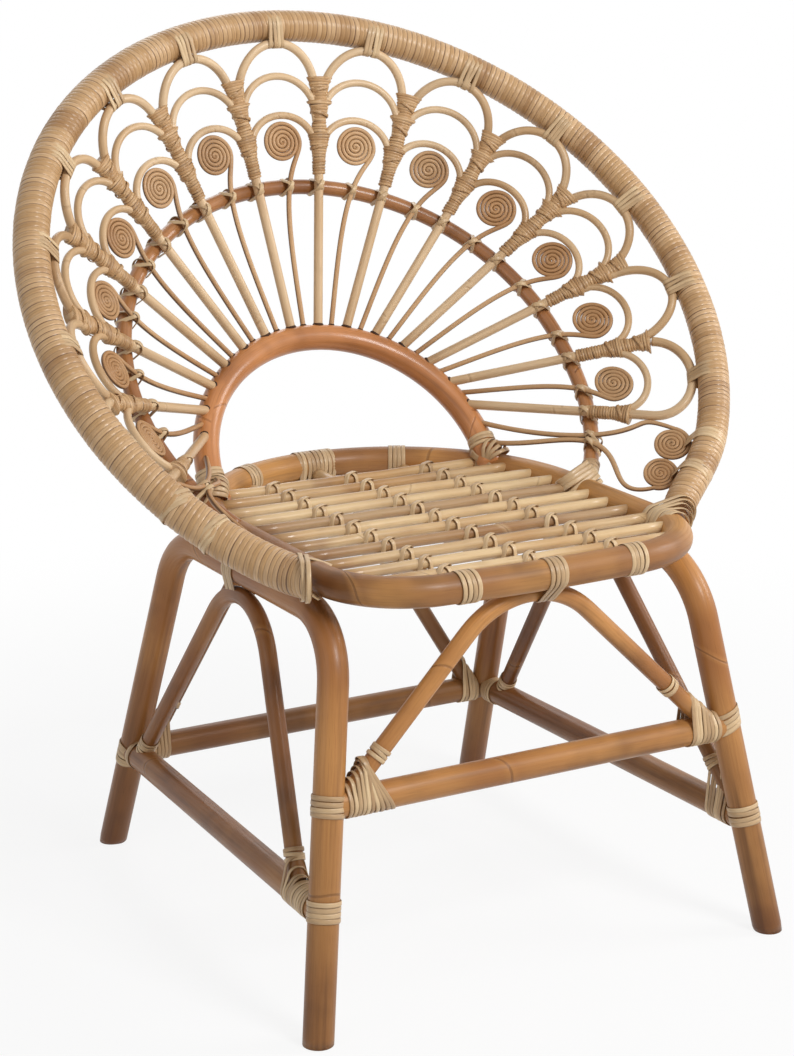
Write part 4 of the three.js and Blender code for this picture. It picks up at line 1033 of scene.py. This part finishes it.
def scroll(name, start_turn, middle, hand, tone, sway, lead=None):
    """A thin spoke: a smooth line up its bay, then a flat coil whose radius shrinks by one pitch a turn."""
    start = BORE_FLOOR / float(fan_length(start_turn))
    joint = beside(*middle, hand * SCROLL_RUN, 0.0)
    lead = lead or (joint[0] - .07, joint[1])
    path = bezier(np.array([(start, start_turn), sway, lead, joint]), 60)[:-1]
    angle = np.linspace(0, SCROLL_TURNS * 2 * np.pi, 210)
    radius = SCROLL_RUN - SCROLL_PITCH * angle / (2 * np.pi)
    curl = beside(*middle, hand * radius * np.cos(angle), radius * np.sin(angle))
    line, front = on_fan(*(np.concatenate([path[:, i], curl[i]]) for i in (0, 1)), STEM_LIFT)
    girth = np.concatenate([np.full(40, STEM_R), np.linspace(STEM_R, COIL_R, 20), np.full(210, COIL_R)])
    made = carry(line, girth, front, 12, tone=tone, start=abs(start_turn) * 1000)
    made["marks"][:, :, 1] *= STRIP_MAP / (2 * np.pi * girth.mean())
    stems.append(path)
    piece(f"curl_{name}", [made], coil_reed, [f"scroll_{name}"])


for bay in range(-LAST_BAY, LAST_BAY + 1):
    turn = BAY * bay
    name = "top" if bay == 0 else f"{'left' if bay < 0 else 'right'}_{abs(bay)}"
    scroll(name, turn, (.63, turn), 1, shade(.3, .6), (.55, turn + SWAY))
for name, side in SIDES.items():
    for number, (arch_turn, middle, hand, *leads) in enumerate(LOW_SCROLLS, LAST_BAY + 1):
        middle, sway, lead = ((share, side * np.radians(turn)) for share, turn in (middle, *leads))
        start_turn = side * np.radians(arch_turn) / ARCH_SHARE
        scroll(f"{name}_{number}", start_turn, middle, side * hand, .45, sway, lead)


def bore_shade_cone(turn, radius, lift):
    """Painted shade in a bore in the arch: a short dark cone close round the stick that enters there."""
    share = np.array([12.4, 13.7, 14.9]) / float(fan_length(turn))
    line, front = on_fan(share, np.full(3, turn), lift)
    return carry(line, radius + np.array([1.0, .9, .15]), front, 16, tone=.4)


spoke_turns = [spoke_turn(number, side) for side in (-1, 1) for number in range(1, SPOKES + 1)]
# Painted shade where each spoke and stem enters its bore in the arch.
bore_shade_cones = [bore_shade_cone(turn, SPOKE_R, 0.0) for turn in spoke_turns]
bore_shade_cones += [bore_shade_cone(float(path[0, 1]), STEM_R, STEM_LIFT) for path in stems]
piece("painted_bore_shade", bore_shade_cones, bore_shade)

# ---- Ties of the fan ----

# How far behind the fan the middle of a tie lies, its radius over the stick, its height and the peel's width
STEM_TIE, SPOKE_TIE = (-10.2, STEM_R + 1.15, 24.4, 4.4), (-8.3, SPOKE_R + .75, 28.3, 4.9)


def ring_tie(share, turn, lift, top_r, height, width):
    """The crossed turns that hold a stick of the fan to the middle ring behind it."""
    around, outward, front = fan_ways(share, turn)
    angle = dice.uniform(27, 36)
    return cross_tie(on_fan(share, turn, lift)[0], outward, around, front, top_r, MIDDLE_R + .7, height,
                     width, (-angle, angle), 1.3, .5)


ties = []
for path in stems:
    index = int(np.argmin(abs(path[:, 0] - middle_share(path[:, 1]))))
    ties += ring_tie(*path[index], *STEM_TIE)
for turn in spoke_turns:
    ties += ring_tie(middle_share(turn), turn, *SPOKE_TIE)
lash["middle_ring"] = ties

ties = []
for bay in range(-LAST_BAY, LAST_BAY + 1):
    turn = BAY * bay
    wide = WINDING_R + float(growth(turn))
    outer = abs(bay) < LAST_BAY
    apex = on_fan(outer_peak(turn) if outer else last_peak(turn), turn, OUTER_LIFT if outer else 0.0)[0]
    centre = circle(HOOP, turn)
    axis = unit(circle(HOOP, turn + .01) - circle(HOOP, turn - .01))
    x_way = unit(apex - centre - axis * ((apex - centre) @ axis))
    y_way = np.cross(axis, x_way)
    ahead = .5 if y_way @ HOOP_FRONT > 0 else -.5
    discs = [(1.9, ahead, wide - 1.4), ((apex - centre) @ x_way, 0, OUTER_BOW_R + .2)]
    ties += row_of_turns(centre, axis, centred(4, 4.5), x_way, y_way, discs, 4.5, 1.0, (.03, .03), [.5], 56)
for side in (-1, 1):
    for _, (share, turn), *_ in LOW_SCROLLS:
        middle = on_fan(share, side * np.radians(turn), STEM_LIFT)[0]
        rim = np.vstack([circle(HOOP, side * HOOP_TURN * np.linspace(.9, 1, 40)),
                         hoop[:60] if side < 0 else hoop[-60:]])
        centre = rim[np.linalg.norm(rim - middle, axis=1).argmin()]
        x_way = unit(middle - centre)
        axis = unit(np.cross(HOOP_FRONT, x_way))
        wide = WINDING_R + (SWELL if side < 0 else 0)
        discs = [(.8, 0, wide - .3), (np.linalg.norm(middle - centre) - 19.5, 0, 3.2)]
        ties += row_of_turns(centre, axis, centred(3, 4.7), x_way, np.cross(axis, x_way), discs, 5.0, 1.1,
                             (.03, .03), [.6], 56)
lash["hoop_ties"] = ties

# ---- Feet of the arch and of the middle ring ----

FOOT_TILTS = {-1: [-66, -58, -50, -42, -34, 34, 42, 50, 58], 1: [-58, -50, -42, -34, 36, 44, 52, 60]}
FOOT_WIDTH = {-1: 5.2, 1: 4.4}
for name, side in SIDES.items():
    foot, above = arch_line[[0, 2]] if side < 0 else arch_line[[-1, -3]]
    way = unit(above - foot)
    base, tangent = on_ring(side, float(foot[1]))
    inward = unit(np.cross(UP, tangent)) * side
    over = foot + way * 16
    half = float(np.linalg.norm(over - base)) / 2
    made = []
    for tilt in np.radians(FOOT_TILTS[side]):  # one turn for each, over the foot and under the ring
        y_way = unit(unit(over - base) * np.cos(tilt) + tangent * np.sin(tilt))
        discs = [(0, half, ARCH_R + .3), (0, -half, RING_R + .3)]
        made.append(turn_of_peel((over + base) / 2, inward, y_way, discs, FOOT_WIDTH[side], 1.2,
                                 loose(.03, 0), shade(.3), 48))
    made += lashing(foot + way * 24, way, ACROSS, ARCH_R + .1, 3, 4.4, 4.3, 1.2, splay=.05)
    made += row_of_turns(base, tangent, 18 + 4.6 * np.arange(4), -inward, UP, [(0, 0, RING_R + .1)], 4.4, 1.1,
                         (0, .05), (.3, .9))
    if side > 0:
        end = middle_line[-1]
        way = unit(middle_line[-4] - end)
        base, _ = on_ring(side, float(end[1]))
        slant, depth = unit(spot(.778, -.257, .572)), unit(spot(-.472, -.841, .264))
        row = np.cross(depth, slant)
        middle = (base + end) / 2 + UP * 9 - ACROSS
        for place in centred(6, 1):  # the inner turns reach further up the pole than the outer ones
            discs = [(0, 8 - abs(place), MIDDLE_R + .4), (0, -10, RING_R + .3)]
            made.append(turn_of_peel(middle + row * place * 4.6, depth, slant, discs, 5.2, 1.2,
                                     loose(.03, .05), shade(.55), 48))
        made += lashing(end + way * 14, way, ACROSS, MIDDLE_R + .2, 4, 4.6, 4.6, 1.2, splay=.06)
    lash[f"arch_foot_{name}"] = made
for name, walls in lash.items():
    piece(f"lashing_{name}", walls, peel)

# ---- Floor, light and camera ----

bpy.ops.mesh.primitive_plane_add(size=24, location=(0, 0, -.0005))
floor = bpy.context.object
floor.name = "floor"
f = Finish("floor_white", 0)
f.put(f.shader, Base_Color=(.8, .8, .8, 1), Roughness=.9)
white = f.put(f.node("ShaderNodeEmission"), Strength=1).outputs["Emission"]
far = f.node("ShaderNodeVectorMath", operation="LENGTH")
f.wire(f.place(), far.inputs[0])
FADE = (.5, 1.4, .86, 1)  # metres from the middle, and how far the floor is plain white at each
share = f.times(f.spread(far.outputs["Value"], *FADE), f.in_sight())
f.wire(f.blend(share, f.shader.outputs["BSDF"], white), f.end.inputs["Surface"])
floor.data.materials.append(f.material)

world = bpy.data.worlds.new("studio")
bpy.context.scene.world = world
world.use_nodes = True
studio = Nodes(world.node_tree)
SKY_LIGHT = .33
sky, plain = (studio.put(studio.node("ShaderNodeBackground"), Color=(1, 1, 1, 1), Strength=strength)
              for strength in (SKY_LIGHT, 1))
whole = studio.blend(studio.in_sight(), sky.outputs["Background"], plain.outputs["Background"])
studio.wire(whole, studio.node("ShaderNodeOutputWorld").inputs["Surface"])


def point_to(thing, place, target):
    """Puts a lamp or camera at place, looking at target with its top upwards."""
    back = unit(np.asarray(place, float) - np.asarray(target, float))
    right = unit(np.cross(UP, back))
    axes = np.stack([right, np.cross(back, right), back, place], 1)
    thing.matrix_world = Matrix(axes.tolist() + [[0, 0, 0, 1]])
    bpy.context.scene.collection.objects.link(thing)


LAMPS = {  # place and target in metres, size in metres, power in watts
    "key": ((.7, -2.7, 2.6), (0, 0, .45), 1.0, 74),
    "side": ((2.6, -1.0, 1.7), (0, 0, .4), 1.1, 34),
    "back": ((.6, 2.4, 2.2), (0, .1, .5), 1.6, 14),
    "left_fill": ((-2.8, -.9, 1.3), (0, 0, .45), 1.7, 9),
}
for name, (place, target, size, power) in LAMPS.items():
    data = bpy.data.lights.new(name, "AREA")
    data.energy, data.size = power, size
    point_to(bpy.data.objects.new(name, data), place, target)

FOCAL_PIXELS, IMAGE_HEIGHT, SENSOR = 2466.6, 1056, 36
camera_data = bpy.data.cameras.new("photo_camera")
camera_data.sensor_fit = "AUTO"
camera_data.sensor_width = SENSOR
camera_data.lens = SENSOR * FOCAL_PIXELS / IMAGE_HEIGHT
camera_data.clip_end = 60
camera = bpy.data.objects.new("photo_camera", camera_data)
camera_place = (spot(-1176.2, -1954.7, 1032.4) + MOVED) / 1000
azimuth, pitch = np.radians(-29.27), np.radians(-15.3)
look = spot(-np.sin(azimuth) * np.cos(pitch), np.cos(azimuth) * np.cos(pitch), np.sin(pitch))
point_to(camera, camera_place, camera_place + look)
bpy.context.scene.camera = camera

bpy.context.scene.view_settings.view_transform = "Standard"
